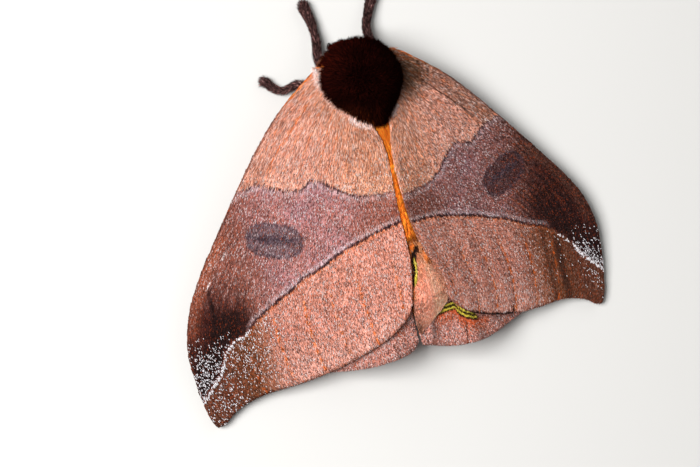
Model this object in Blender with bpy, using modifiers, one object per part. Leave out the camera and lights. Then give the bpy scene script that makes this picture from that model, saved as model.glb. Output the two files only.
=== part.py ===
"""An Automeris moth at rest, life size: the forewings lie like a low roof over the hindwings and the body.

Metres, +Z up. The head looks along -Y and the moth's left side is +X. Points in this file are written in
millimetres as (x, y, z), with y counted backwards from the roots of the forewings; place() turns them into
the model's metres, whose origin is the bottom centre of the whole moth.
"""

import math
import random

import bmesh
import bpy
from mathutils import Vector

MM = 0.001
GAP = 0.3                        # between two pieces that touch
ORIGIN_Y = 16.84                 # the middle of the moth, from its feet in front to its wings behind

# Wings. The membrane is as thick as the finest sheet that holds together, and the veins stand out of it.
MEMBRANE = 0.5
VEIN = 0.95
VEIN_FLANK = 0.42                # from a vein's crest to its foot
ROOT_DEPTH = 1.7                 # how far a wing's root reaches in from the coat's edge
SLOT_SHARE = 0.3                 # of a wing's length that may lie in the thorax
ROOF_REFERENCE_X = 5.5
ROOF_HEIGHT = 7.22               # of the forewing at its root
ROOF_SLOPE_X = -0.228
ROOF_SLOPE_Y = -0.0225
ROOF_BEND_X = 0.00971
ROOF_TWIST = -0.00803
ROOF_BEND_Y = 0.00176
HINDWING_DROP = 1.4              # from the forewing's middle surface to the hindwing's
TAIL_DROOP = 0.6                 # how fast the hindwings fall behind the body, beside the midline
TAIL_DROOP_FROM = 34.0
TAIL_DROOP_WIDTH = 7.0

# Outlines of the wings seen from above, with x counted outwards. The wings differ only at their inner edges,
# where those of the right side lie a little nearer the midline or across it.
FOREWING_COSTA = [(5.8, 0.2), (10.0, 2.7), (13.8, 5.6), (17.2, 9.0), (20.4, 12.6), (23.5, 16.3), (26.5, 20.0),
                  (29.4, 23.7), (31.8, 27.8), (33.0, 32.2), (32.9, 36.9), (32.3, 40.9), (31.7, 42.8),
                  (31.0, 43.5)]
FOREWING_OUTER = [(31.0, 43.5), (30.0, 43.2), (28.5, 42.2), (26.3, 41.4), (23.7, 41.0), (18.3, 40.9),
                  (13.0, 40.2), (7.8, 38.7), (5.5, 37.5), (3.7, 36.1), (2.8, 34.7)]
FOREWING_INNER = {
    "left": [(0.8, 10.0), (0.35, 12.0), (0.25, 14.2), (0.45, 16.8), (0.75, 19.5), (0.95, 22.5), (1.1, 25.6),
             (1.35, 28.8), (2.1, 32.2), (2.8, 34.7)],
    "right": [(1.8, 9.9), (1.0, 12.6), (0.45, 15.2), (0.25, 17.5), (0.15, 20.0), (0.1, 22.5), (0.4, 25.5),
              (1.1, 28.2), (2.3, 30.2), (2.95, 32.0), (2.8, 34.7)],
}
FOREWING_BASE = [(5.8, 0.2), (6.2, 2.3), (5.9, 4.6), (4.7, 6.6), (3.4, 7.9), (2.1, 9.2)]
HINDWING_COSTA = [(5.6, 4.6), (9.0, 8.0), (14.0, 14.0), (18.5, 20.5), (22.0, 27.5), (23.6, 33.5)]
HINDWING_OUTER = [(23.6, 33.5), (22.2, 37.2), (18.8, 39.5), (14.3, 40.7), (9.6, 41.5), (5.4, 41.4),
                  (2.9, 41.0)]
HINDWING_INNER = {
    "left": [(2.4, 10.6), (1.0, 13.0), (0.5, 18.0), (0.7, 24.0), (1.5, 30.0), (2.2, 35.0), (2.05, 37.8),
             (1.7, 40.0)],
    "right": [(2.4, 10.6), (0.6, 13.0), (0.2, 18.0), (-0.2, 24.0), (-1.0, 30.0), (-1.7, 35.0), (-1.55, 37.7),
              (-1.2, 39.7)],
}
HINDWING_BASE = [(5.6, 4.6), (4.6, 7.0), (3.6, 9.0)]
HINDWING_DEEPEST = 40.2          # where the reach of the hindwings is full
HINDWING_REACH = {"left": 0.0, "right": 0.9}   # the right one shows a little more behind its forewing
HINDWING_REACH_FROM = 30.0

# Each vein as its place across the wing, from 0 at the costa to 1 at the inner edge, at the root and margin.
FOREWING_VEINS = [(0.10, 0.05), (0.22, 0.14), (0.30, 0.27), (0.38, 0.41), (0.50, 0.54), (0.58, 0.66),
                  (0.66, 0.78), (0.84, 0.93)]
HINDWING_VEINS = [(0.12, 0.16), (0.26, 0.32), (0.38, 0.47), (0.52, 0.62), (0.64, 0.76), (0.84, 0.91)]
FOREWING_ROWS = 15
HINDWING_ROWS = 11

# Body.
THORAX_CENTRE = (0.0, 3.5, 6.9)
THORAX_RADII = (5.45, 5.7, 5.1)
THORAX_DOWN = 5.5                # from its centre to its underside
THORAX_REAR_TAPER = 0.45
THORAX_CHIN = 0.33               # how much its lower front draws back above the head
LOCK_COUNT = 90                  # spread over the whole thorax, of which only the upper ones are kept
LOCK_LOWEST = -0.42              # the lowest a lock's root may face
LOCK_LENGTH = 2.9
LOCK_WIDTH = 1.75
LOCK_THICKNESS = 0.75
LOCK_SUNK = 0.95
LOCK_LIFT = 0.62                 # from the skin to a lock's tip
LOCK_SEED = 11
HEAD_CENTRE = (0.0, -0.45, 3.65)
HEAD_RADII = (2.3, 1.8, 2.1)
EYE_CENTRE = (1.8, -0.95, 3.72)
EYE_RADIUS = 0.98
PALP_ROOT = (0.75, -1.3, 2.2)
PALP_TIP = (0.85, -2.35, 1.85)
PALP_RADIUS = 0.55
# Stations along the abdomen: y, half its width, half its height, height of its middle.
ABDOMEN = [(7.6, 1.9, 1.8, 4.2), (9.0, 2.5, 2.3, 4.0), (12.0, 3.3, 2.8, 3.45), (16.0, 3.8, 3.2, 3.3),
           (20.0, 4.0, 3.4, 3.4), (25.0, 3.9, 3.6, 3.6), (30.0, 3.4, 3.4, 3.4), (33.5, 2.6, 2.7, 2.75),
           (36.0, 1.5, 1.7, 1.9), (37.2, 0.6, 0.7, 1.3)]
ABDOMEN_SEGMENTS = 8
ABDOMEN_SIDES = 18
SEGMENT_STEP = 0.22              # how far a segment's hind edge stands over the next one

# Legs: the middle line from the hip to the foot, and each leg's radii at the hip, knee, shin and foot.
LEGS = {
    "foreleg_left": [(2.4, 2.2, 2.6), (3.1, 0.8, 2.8), (3.28, -1.2, 2.35), (2.5, -3.4, 1.6), (2.2, -5.6, 1.0),
                     (2.35, -7.1, 0.85), (2.65, -8.3, 0.8)],
    "foreleg_right": [(-2.3, 2.2, 2.6), (-3.7, 0.8, 3.0), (-4.9, -0.9, 2.95), (-5.25, -2.7, 2.15),
                      (-5.65, -4.0, 1.6), (-6.4, -5.2, 1.2), (-7.4, -6.7, 0.87), (-8.1, -7.8, 0.8)],
    "midleg_left": [(2.2, 4.0, 2.6), (4.4, 3.7, 2.8), (6.0, 2.4, 2.6), (7.0, 1.6, 1.9), (8.1, 1.8, 1.25),
                    (9.2, 1.9, 0.8), (10.3, 1.15, 0.62), (11.0, 0.2, 0.6)],
    "midleg_right": [(-2.2, 4.0, 2.6), (-4.4, 4.5, 2.7), (-6.3, 4.6, 2.3), (-7.8, 4.8, 1.2),
                     (-9.4, 5.3, 0.65), (-10.9, 5.8, 0.6)],
    "hindleg_left": [(2.3, 6.3, 3.0), (4.2, 7.7, 2.9), (6.3, 10.0, 2.6), (7.6, 13.2, 1.5), (8.6, 16.2, 0.7),
                     (9.4, 19.6, 0.6)],
    "hindleg_right": [(-2.3, 6.3, 3.0), (-4.2, 7.7, 2.9), (-6.3, 10.0, 2.6), (-7.6, 13.2, 1.5),
                      (-8.6, 16.2, 0.7), (-9.4, 19.6, 0.6)],
}
LEG_RADII = {"fore": (0.8, 0.68, 0.6, 0.85), "mid": (0.8, 0.7, 0.55, 0.65), "hind": (0.85, 0.75, 0.6, 0.65)}
LEG_SIDES = 8
LEG_STATIONS = 11
END_REACH = 0.75                 # of a limb's radius that its rounded end adds to its length
END_SHARE = 0.55                 # of a limb's radius that is left at the end
CLAW_LENGTH = 0.75
CLAW_RADIUS = 0.22

# Antennae: folded back under the forewings' leading edge, with a row of short teeth on each side.
ANTENNA_PATH = [(0.9, -1.1, 5.45), (2.6, -1.0, 5.35), (4.3, 0.3, 4.9), (5.9, 2.8, 4.3), (7.6, 6.0, 3.8),
                (9.0, 9.6, 3.5)]
ANTENNA_RADII = (0.36, 0.36, 0.2)
TOOTH_COUNT = 9
TOOTH_LENGTH = 1.0
TOOTH_RADIUS = 0.27
TIP_SHARE = 0.12                 # of the radius of a claw or a tooth that is left at its tip

COLOURS = {
    "forewing": (0.42, 0.24, 0.18),
    "hindwing": (0.52, 0.26, 0.19),
    "thorax": (0.035, 0.010, 0.008),
    "head": (0.040, 0.014, 0.010),
    "eye": (0.012, 0.008, 0.007),
    "abdomen": (0.55, 0.20, 0.05),
    "leg": (0.055, 0.020, 0.018),
    "antenna": (0.20, 0.09, 0.04),
}
ROUGHNESS = {"eye": 0.25}
FUR_ROUGHNESS = 0.9


def clear_scene():
    for obj in list(bpy.data.objects):
        bpy.data.objects.remove(obj)


def collection(name):
    made = bpy.data.collections.new(name)
    bpy.context.scene.collection.children.link(made)
    return made


def material(kind):
    """The Principled material of one kind of surface, made once."""
    found = bpy.data.materials.get(kind)
    if found:
        return found
    made = bpy.data.materials.new(kind)
    made.use_nodes = True
    shader = made.node_tree.nodes["Principled BSDF"]
    shader.inputs["Base Color"].default_value = (*COLOURS[kind], 1.0)
    shader.inputs["Roughness"].default_value = ROUGHNESS.get(kind, FUR_ROUGHNESS)
    shader.inputs["Metallic"].default_value = 0.0
    return made


def place(point):
    """A point in this file's millimetres as a point of the model, in metres."""
    x, y, z = point
    return Vector((x * MM, (y - ORIGIN_Y) * MM, z * MM))


def mirrored(points, side):
    """The points on the named side, given those of the left side."""
    sign = 1.0 if side == "left" else -1.0
    return [(sign * point[0], *point[1:]) for point in points]


def smooth(points, share):
    """The point at this share of the way along a smooth curve through the points."""
    lengths = [0.0]
    for a, b in zip(points, points[1:]):
        lengths.append(lengths[-1] + math.dist(a, b))
    want = min(max(share, 0.0), 1.0) * lengths[-1]
    i = next(k for k in range(1, len(points)) if want <= lengths[k] or k == len(points) - 1) - 1
    t = (want - lengths[i]) / (lengths[i + 1] - lengths[i])
    p1, p2 = points[i], points[i + 1]
    p0 = points[i - 1] if i else [2 * a - b for a, b in zip(p1, p2)]
    p3 = points[i + 2] if i + 2 < len(points) else [2 * b - a for a, b in zip(p1, p2)]
    return tuple(
        0.5 * (2 * b + (c - a) * t + (2 * a - 5 * b + 4 * c - d) * t * t + (3 * b - a - 3 * c + d) * t ** 3)
        for a, b, c, d in zip(p0, p1, p2, p3)
    )


def between(values, share):
    """A number at this share of the way along evenly spaced values."""
    want = min(max(share, 0.0), 1.0) * (len(values) - 1)
    i = min(int(want), len(values) - 2)
    return values[i] + (values[i + 1] - values[i]) * (want - i)


def ramp(value, low, high):
    """0 below low, 1 above high and a smooth rise between."""
    t = min(max((value - low) / (high - low), 0.0), 1.0)
    return t * t * (3 - 2 * t)


def roof(x, y):
    """Height of the forewings' middle surface at x from the midline and y from their roots."""
    side = abs(x) - ROOF_REFERENCE_X
    return (ROOF_HEIGHT + ROOF_SLOPE_X * side + ROOF_SLOPE_Y * y + ROOF_BEND_X * side * side
            + ROOF_TWIST * side * y + ROOF_BEND_Y * y * y)


def hindwing_height(x, y):
    """Height of the hindwings' middle surface: under the roof, and falling behind the body."""
    fade = 1.0 - ramp(abs(x), 0.0, TAIL_DROOP_WIDTH)
    return roof(x, y) - HINDWING_DROP - TAIL_DROOP * max(y - TAIL_DROOP_FROM, 0.0) * fade


def patch(base, costa, inner, outer):
    """The surface between four edge curves, as a function of u, from costa to inner edge, and v, outwards."""
    def point(u, v):
        corners = [costa[0], inner[0], costa[-1], inner[-1]]
        weights = [(1 - u) * (1 - v), u * (1 - v), (1 - u) * v, u * v]
        sides = [(smooth(costa, v), 1 - u), (smooth(inner, v), u), (smooth(base, u), 1 - v),
                 (smooth(outer, u), v)]
        return tuple(
            sum(p[k] * w for p, w in sides) - sum(p[k] * w for p, w in zip(corners, weights)) for k in (0, 1)
        )
    return point


def wing_lines(veins, v, width):
    """Where the lines of a wing's grid lie across it at v, each with how much it is raised.

    A vein is three lines: its crest and its two feet. One more line lies between two veins.
    """
    crests = [root + (tip - root) * v for root, tip in veins]
    edges = [0.0, *crests, 1.0]
    room = min(b - a for a, b in zip(edges, edges[1:])) / 3
    flank = min(VEIN_FLANK / width, room)
    lines = [(0.0, 1.0), (flank, 0.0)]
    previous = flank
    for crest in crests:
        lines.append(((previous + crest - flank) / 2, 0.0))
        lines += [(crest - flank, 0.0), (crest, 1.0), (crest + flank, 0.0)]
        previous = crest + flank
    lines += [((previous + 1.0) / 2, 0.0), (1.0, 0.0)]
    return lines


def wing(name, kind, outline, veins, rows, height, stretch=None):
    """A wing: a sheet over its outline at the given height, thick along its veins."""
    point = patch(*outline)
    mesh_lines = len(wing_lines(veins, 0.0, 1.0))
    bm = bmesh.new()
    bmesh.ops.create_grid(bm, x_segments=mesh_lines - 1, y_segments=rows - 1, size=0.5)
    bm.verts.ensure_lookup_table()
    raised = []
    for index, vert in enumerate(bm.verts):
        column, row = round((vert.co.x + 0.5) * (mesh_lines - 1)), round((vert.co.y + 0.5) * (rows - 1))
        v = row / (rows - 1)
        across = math.dist(smooth(outline[1], v), smooth(outline[2], v))
        u, crest = wing_lines(veins, v, across)[column]
        x, y = point(u, v)
        if stretch:
            y = stretch(y)
        vert.co = place((x, y, height(x, y)))
        raised.append((index, crest * (1.0 - 0.6 * v)))
    bmesh.ops.triangulate(bm, faces=bm.faces)
    bmesh.ops.recalc_face_normals(bm, faces=bm.faces)
    obj = object_of(name, kind, bm)
    group = obj.vertex_groups.new(name="veins")
    for index, weight in raised:
        group.add([index], weight, "REPLACE")
    sheet = obj.modifiers.new("sheet", "SOLIDIFY")
    sheet.thickness = VEIN * MM
    sheet.offset = 0.0
    sheet.vertex_group = group.name
    sheet.thickness_vertex_group = MEMBRANE / VEIN
    return obj


def object_of(name, kind, bm):
    """An object of the moth's collection with this mesh and its kind's material."""
    mesh = bpy.data.meshes.new(name)
    bm.to_mesh(mesh)
    bm.free()
    mesh.materials.append(material(kind))
    mesh.shade_smooth()
    obj = bpy.data.objects.new(name, mesh)
    obj.parent = STANDPOINT
    MOTH.objects.link(obj)
    return obj


def helper(name, bm):
    """An object that only cuts or is fused into another."""
    mesh = bpy.data.meshes.new(name)
    bm.to_mesh(mesh)
    bm.free()
    obj = bpy.data.objects.new(name, mesh)
    HELPERS.objects.link(obj)
    obj.hide_render = True
    obj.display_type = "WIRE"
    return obj


def egg(centre, radii, segments=20, rings=12, shape=None):
    """A rounded body. shape maps a direction from its centre to the point there, in millimetres."""
    bm = bmesh.new()
    bmesh.ops.create_uvsphere(bm, u_segments=segments, v_segments=rings, radius=1.0)
    for vert in bm.verts:
        n = vert.co
        if shape:
            vert.co = place(shape(n))
        else:
            vert.co = place([c + r * d for c, r, d in zip(centre, radii, n)])
    return bm


def tube(path, radii, sides, stations, flat_floor=False):
    """A round limb along a smooth path, with rounded ends. Its underside is flat where it meets the floor."""
    middle = [Vector(smooth(path, k / (stations - 1))) for k in range(stations)]
    thick = [between(radii, k / (stations - 1)) for k in range(stations)]
    first = middle[0] + (middle[0] - middle[1]).normalized() * END_REACH * thick[0]
    last = middle[-1] + (middle[-1] - middle[-2]).normalized() * END_REACH * thick[-1]
    line = bpy.data.curves.new("limb", "CURVE")
    line.dimensions = "3D"
    line.twist_mode = "Z_UP"
    line.bevel_depth = MM
    line.bevel_resolution = sides // 2 - 2
    line.use_fill_caps = True
    spline = line.splines.new("POLY")
    spline.points.add(stations + 1)
    radii_along = [END_SHARE * thick[0], *thick, END_SHARE * thick[-1]]
    for spot, point, radius in zip(spline.points, [first, *middle, last], radii_along):
        spot.co = (*place(point), 1.0)
        spot.radius = radius
    limb = bpy.data.objects.new("limb", line)
    HELPERS.objects.link(limb)
    graph = bpy.context.evaluated_depsgraph_get()
    mesh = bpy.data.meshes.new_from_object(limb.evaluated_get(graph))
    bpy.data.objects.remove(limb)
    bpy.data.curves.remove(line)
    bm = bmesh.new()
    bm.from_mesh(mesh)
    bpy.data.meshes.remove(mesh)
    bmesh.ops.remove_doubles(bm, verts=bm.verts, dist=0.01 * MM)
    if flat_floor:
        for vert in bm.verts:
            vert.co.z = max(vert.co.z, 0.0)
    bmesh.ops.recalc_face_normals(bm, faces=bm.faces)
    return bm


def spike(root, tip, radius, sides=4):
    """A straight tapered spine from root to tip."""
    root, tip = Vector(root), Vector(tip)
    length = (tip - root).length
    bm = bmesh.new()
    bmesh.ops.create_cone(bm, cap_ends=True, segments=sides, depth=length,
                          radius1=radius, radius2=TIP_SHARE * radius)
    turn = (tip - root).to_track_quat("Z", "Y")
    for vert in bm.verts:
        vert.co = place(turn @ vert.co + (root + tip) / 2)
    return bm


def applied(obj):
    """The object with its modifiers applied."""
    graph = bpy.context.evaluated_depsgraph_get()
    mesh = bpy.data.meshes.new_from_object(obj.evaluated_get(graph))
    obj.modifiers.clear()
    obj.data = mesh
    return obj


def keep_largest(obj):
    """Drops every closed surface of the object but its largest."""
    bm = bmesh.new()
    bm.from_mesh(obj.data)
    left, bodies = set(bm.verts), []
    while left:
        body, edge = set(), [left.pop()]
        while edge:
            vert = edge.pop()
            body.add(vert)
            near = {e.other_vert(vert) for e in vert.link_edges} & left
            left -= near
            edge += near
        bodies.append(body)
    bodies.sort(key=len)
    for body in bodies[:-1]:
        bmesh.ops.delete(bm, geom=list(body), context="VERTS")
    bm.to_mesh(obj.data)
    bm.free()


def combine(obj, helpers, operation, solver="EXACT"):
    """Joins the helpers into the object, or cuts it clear of them, and removes them."""
    group = bpy.data.collections.new("pieces")
    bpy.context.scene.collection.children.link(group)
    for piece in helpers:
        HELPERS.objects.unlink(piece)
        group.objects.link(piece)
    boolean = obj.modifiers.new("combine", "BOOLEAN")
    boolean.operation = operation
    boolean.operand_type = "COLLECTION"
    boolean.collection = group
    boolean.solver = solver
    applied(obj)
    keep_largest(obj)
    for piece in helpers:
        bpy.data.objects.remove(piece)
    bpy.data.collections.remove(group)


def into_thorax(base):
    """A wing's root line, moved into the side of the thorax."""
    moved = []
    for x, y in base:
        out = Vector((x - THORAX_CENTRE[0], y - THORAX_CENTRE[1])).normalized()
        moved.append((x - out.x * ROOT_DEPTH, y - out.y * ROOT_DEPTH))
    return moved


def wing_outline(base, costa, inner, outer):
    """A wing's four edges, with its root line sunk in the thorax."""
    sunk = into_thorax(base)
    return sunk, [sunk[0], *costa], [sunk[-1], *inner], outer


def forewing_outline(side):
    inner = FOREWING_INNER[side]
    edges = wing_outline([*FOREWING_BASE, inner[0]], FOREWING_COSTA, inner, FOREWING_OUTER)
    return [mirrored(edge, side) for edge in edges]


def hindwing_outline(side):
    inner = HINDWING_INNER[side]
    edges = wing_outline([*HINDWING_BASE, inner[0]], HINDWING_COSTA, inner, [*HINDWING_OUTER, inner[-1]])
    return [mirrored(edge, side) for edge in edges]


def make_forewing(side):
    return wing(f"forewing_{side}", "forewing", forewing_outline(side), FOREWING_VEINS, FOREWING_ROWS, roof)


def make_hindwing(side):
    def stretch(y):
        return y + HINDWING_REACH[side] * ramp(y, HINDWING_REACH_FROM, HINDWING_DEEPEST)

    return wing(f"hindwing_{side}", "hindwing", hindwing_outline(side), HINDWING_VEINS, HINDWING_ROWS,
                hindwing_height, stretch)


def wing_slot(outline, height):
    """The room that a wing's root needs in the thorax: a plain sheet over it, larger all round."""
    point = patch(*outline)
    columns, rows = 9, 6
    bm = bmesh.new()
    bmesh.ops.create_grid(bm, x_segments=columns - 1, y_segments=rows - 1, size=0.5)
    for vert in bm.verts:
        u, v = vert.co.x + 0.5, (vert.co.y + 0.5) * SLOT_SHARE
        spot = Vector(point(u, v))
        out = Vector((0.0, 0.0))
        if u < 0.01 or u > 0.99:
            out += (spot - Vector(point(0.9 * u + 0.05, v))).normalized()
        if v < 0.01:
            out += (spot - Vector(point(u, 0.05))).normalized()
        spot += out * GAP
        vert.co = place((spot.x, spot.y, height(*spot)))
    bmesh.ops.triangulate(bm, faces=bm.faces)
    bmesh.ops.recalc_face_normals(bm, faces=bm.faces)
    slot = helper("slot", bm)
    sheet = slot.modifiers.new("sheet", "SOLIDIFY")
    sheet.thickness = (VEIN + 2 * GAP) * MM
    sheet.offset = 0.0
    return applied(slot)


def thorax_point(n, inset=0.0):
    """The thorax's surface in direction n: a dome that tapers behind and draws back above the head."""
    radii = [r - inset for r in THORAX_RADII]
    x = n.x * radii[0]
    y = n.y * radii[1]
    z = n.z * (radii[2] if n.z > 0 else THORAX_DOWN - inset)
    if n.y > 0:
        x *= 1.0 - THORAX_REAR_TAPER * n.y * n.y
    else:
        y *= 1.0 - THORAX_CHIN * ramp(-n.z, -0.2, 0.6)
    return [c + d for c, d in zip(THORAX_CENTRE, (x, y, z))]


def spread_directions(count):
    """Directions spread evenly over a ball, from the top down."""
    golden = math.pi * (3.0 - math.sqrt(5.0))
    for k in range(count):
        z = 1.0 - 2.0 * (k + 0.5) / count
        level = math.sqrt(1.0 - z * z)
        yield Vector((math.cos(golden * k) * level, math.sin(golden * k) * level, z))


def coat_flow(n):
    """The way the coat lies at direction n: backwards over the top, and outwards and down at the sides."""
    flow = Vector((0.9 * n.x, 0.6 * n.y + 0.55, -0.5))
    return (flow - n * flow.dot(n)).normalized()


def thorax_lock(n, draw):
    """A flat, tapered lock that leaves the thorax at direction n and bends back along it."""
    length = LOCK_LENGTH * draw.uniform(0.8, 1.15)
    width = LOCK_WIDTH * draw.uniform(0.85, 1.15)
    turn = draw.uniform(-0.25, 0.25)
    lift = LOCK_LIFT * draw.uniform(0.8, 1.2)
    bm = bmesh.new()
    rings = []
    mean = sum(THORAX_RADII) / 3
    for share, rise, wide, thick in ((0.0, -LOCK_SUNK, 0.8, 1.0), (0.32, 0.25 * lift, 1.0, 0.9),
                                     (0.7, 0.8 * lift, 0.75, 0.75), (1.0, 0.85 * lift, 0.24, 0.25)):
        flow = coat_flow(n)
        aside = n.cross(flow)
        heading = flow + aside * turn
        here = (n + heading * share * length / mean).normalized()
        middle = Vector(thorax_point(here)) + here * rise
        half, deep = aside * width * wide / 2, here * LOCK_THICKNESS * thick / 2
        ring = [middle + half, middle + deep, middle - half, middle - deep]
        rings.append([bm.verts.new(place(p)) for p in ring])
    for a, b in zip(rings, rings[1:]):
        for k in range(4):
            bm.faces.new((a[k], a[(k + 1) % 4], b[(k + 1) % 4], b[k]))
    bm.faces.new(rings[0][::-1])
    bm.faces.new(rings[-1])
    bmesh.ops.recalc_face_normals(bm, faces=bm.faces)
    return helper("lock", bm)


def make_thorax():
    """The thorax with its coat of overlapping locks."""
    body = object_of("thorax", "thorax", egg(None, None, 28, 18, thorax_point))
    draw = random.Random(LOCK_SEED)
    roots = [n for n in spread_directions(LOCK_COUNT) if n.z > LOCK_LOWEST]
    combine(body, [thorax_lock(n, draw) for n in roots], "UNION", "MANIFOLD")
    return body


def abdomen_station(y):
    """Half width, half height and middle height of the abdomen at y, from the stations."""
    for a, b in zip(ABDOMEN, ABDOMEN[1:]):
        if y <= b[0]:
            t = (y - a[0]) / (b[0] - a[0])
            return [p + (q - p) * t for p, q in zip(a[1:], b[1:])]
    return ABDOMEN[-1][1:]


def abdomen_shape(grow=0.0):
    """The abdomen: a ball drawn out into segments, each with its hind edge standing over the next."""
    start, end = ABDOMEN[0][0], ABDOMEN[-1][0]
    length = (end - start) / ABDOMEN_SEGMENTS
    profile = ((0.0, 0.0), (0.5, 0.12), (0.97, SEGMENT_STEP))
    rows = len(profile) * ABDOMEN_SEGMENTS + 1
    bm = bmesh.new()
    bmesh.ops.create_uvsphere(bm, u_segments=ABDOMEN_SIDES, v_segments=rows, radius=1.0)
    for vert in bm.verts:
        row = round(math.acos(min(max(vert.co.z, -1.0), 1.0)) / math.pi * rows)
        turn = math.atan2(vert.co.y, vert.co.x)
        inner_row = min(max(row, 1), rows - 1)
        segment, place_in_segment = divmod(inner_row - 1, len(profile))
        share, step = profile[place_in_segment]
        y = start + (segment + share) * length
        wide, high, middle = abdomen_station(y)
        across, up = math.cos(turn) * (wide + step + grow), math.sin(turn) * (high + step + grow)
        if row == 0:
            across, up, y = 0.0, 0.0, y - 0.3 - grow
        if row == rows:
            across, up, y = 0.0, 0.0, y + 0.5 + grow
        vert.co = place((across, y, max(middle + up, 0.0)))
    return bm


def make_head():
    """The head with its two palps, hollowed on each side for an eye."""
    head = object_of("head", "head", egg(HEAD_CENTRE, HEAD_RADII, 20, 12))
    palps = [
        helper(f"palp_{side}", tube(mirrored([PALP_ROOT, PALP_TIP], side),
                                    (PALP_RADIUS, PALP_RADIUS * 0.8), 8, 3))
        for side in ("left", "right")
    ]
    combine(head, palps, "UNION")
    return head


def eye_shape(side, grow=0.0):
    centre = mirrored([EYE_CENTRE], side)[0]
    return egg(centre, [EYE_RADIUS + grow] * 3, 14, 10)


def make_leg(name, path):
    """A leg: one bent limb from the hip to the foot, with its two claws."""
    radii = LEG_RADII[name.split("leg")[0]]
    leg = object_of(name, "leg", tube(path, radii, LEG_SIDES, LEG_STATIONS, flat_floor=True))
    foot, before = Vector(path[-1]), Vector(path[-2])
    ahead = (foot - before).normalized()
    ahead.z = 0.0
    aside = Vector((-ahead.y, ahead.x, 0.0))
    claws = []
    for way in (-1, 1):
        root = foot + aside * way * CLAW_RADIUS * 1.4
        tip = root + (ahead + aside * way * 0.45).normalized() * (radii[-1] + CLAW_LENGTH)
        tip.z = CLAW_RADIUS * 1.2
        claws.append(helper("claw", spike(root, tip, CLAW_RADIUS)))
    combine(leg, claws, "UNION")
    return leg


def make_antenna(side):
    """An antenna: a tapered shaft with teeth on both sides, shorter towards its tip."""
    path = mirrored(ANTENNA_PATH, side)
    shaft = object_of(f"antenna_{side}", "antenna",
                      tube(path, ANTENNA_RADII, 6, 12))
    teeth = []
    for k in range(TOOTH_COUNT):
        share = 0.22 + 0.70 * k / (TOOTH_COUNT - 1)
        root, ahead = Vector(smooth(path, share)), Vector(smooth(path, share + 0.03))
        along = (ahead - root).normalized()
        aside = along.cross(Vector((0.0, 0.0, 1.0))).normalized()
        reach = TOOTH_LENGTH * (1.0 - 0.45 * share)
        for way in (-1, 1):
            start = root + along * way * 0.06
            tip = start + (aside * way + along * 0.7).normalized() * (reach + ANTENNA_RADII[0])
            teeth.append(helper("tooth", spike(start, tip, TOOTH_RADIUS)))
    combine(shaft, teeth, "UNION")
    return shaft


def limb_slot(path, radii, sides=10):
    """The room that a limb needs in the body."""
    return helper("slot", tube(path, [r + GAP for r in radii], sides, LEG_STATIONS))


clear_scene()
MOTH = collection("automeris_moth")
HELPERS = collection("helpers")
STANDPOINT = bpy.data.objects.new("standpoint", None)
MOTH.objects.link(STANDPOINT)
SIDES = ("left", "right")
for side in SIDES:
    make_forewing(side)
    make_hindwing(side)
    object_of(f"eye_{side}", "eye", eye_shape(side))
    make_antenna(side)
for name, path in LEGS.items():
    make_leg(name, path)
object_of("abdomen", "abdomen", abdomen_shape())
head = make_head()
eye_rooms = [helper("slot", eye_shape(side, GAP)) for side in SIDES]
antenna_rooms = [limb_slot(mirrored(ANTENNA_PATH, side), ANTENNA_RADII) for side in SIDES]
combine(head, [*eye_rooms, *antenna_rooms], "DIFFERENCE", "MANIFOLD")
thorax = make_thorax()
rooms = [helper("slot", egg(HEAD_CENTRE, [r + GAP for r in HEAD_RADII], 20, 12))]
rooms.append(helper("slot", abdomen_shape(GAP)))
rooms += [helper("slot", eye_shape(side, GAP)) for side in SIDES]
rooms += [limb_slot(mirrored(ANTENNA_PATH, side), ANTENNA_RADII) for side in SIDES]
rooms += [limb_slot(path, LEG_RADII[name.split("leg")[0]]) for name, path in LEGS.items()]
rooms += [wing_slot(forewing_outline(side), roof) for side in SIDES]
rooms += [wing_slot(hindwing_outline(side), hindwing_height) for side in SIDES]
combine(thorax, rooms, "DIFFERENCE", "MANIFOLD")
bpy.data.collections.remove(HELPERS)
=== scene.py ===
"""The looks of a life-size Automeris moth at rest: its scaled wings, furry body, eyes and feelers.

Lengths are in millimetres, in the moth's own frame: x towards its left, y backwards from the roots of the
forewings, z up from the floor. place() turns them into the row frame's metres.
"""

import math

import bmesh
import bpy
import numpy as np
from mathutils import Matrix, Vector


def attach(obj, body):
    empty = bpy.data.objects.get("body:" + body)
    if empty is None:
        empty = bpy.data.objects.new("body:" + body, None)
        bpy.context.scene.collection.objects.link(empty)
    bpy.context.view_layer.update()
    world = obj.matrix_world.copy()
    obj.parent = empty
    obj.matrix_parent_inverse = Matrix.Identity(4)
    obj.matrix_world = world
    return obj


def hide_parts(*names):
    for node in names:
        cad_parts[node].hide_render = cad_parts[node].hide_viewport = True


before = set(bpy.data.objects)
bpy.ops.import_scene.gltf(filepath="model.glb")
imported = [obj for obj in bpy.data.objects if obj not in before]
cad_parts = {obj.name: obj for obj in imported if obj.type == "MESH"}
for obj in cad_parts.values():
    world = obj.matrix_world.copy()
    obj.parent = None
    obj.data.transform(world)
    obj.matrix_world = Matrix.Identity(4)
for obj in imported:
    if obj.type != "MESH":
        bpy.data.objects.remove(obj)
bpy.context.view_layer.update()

MM = 0.001
ORIGIN_Y = 16.84
SEED = 5
ROOT = "root"

# The camera: where it looks, how far it stands off, and how it leans from straight above.
LOOK_AT = (6.685, 23.171, 5.0)
CAMERA_DISTANCE = 350.0
LEAN_LEFT = math.radians(25.0)
LEAN_FORWARD = math.radians(3.5)
ROLL = math.radians(15.02)
FOCAL_PIXELS = 2555.0
PHOTO_WIDTH = 700
SENSOR_MM = 36.0

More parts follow.
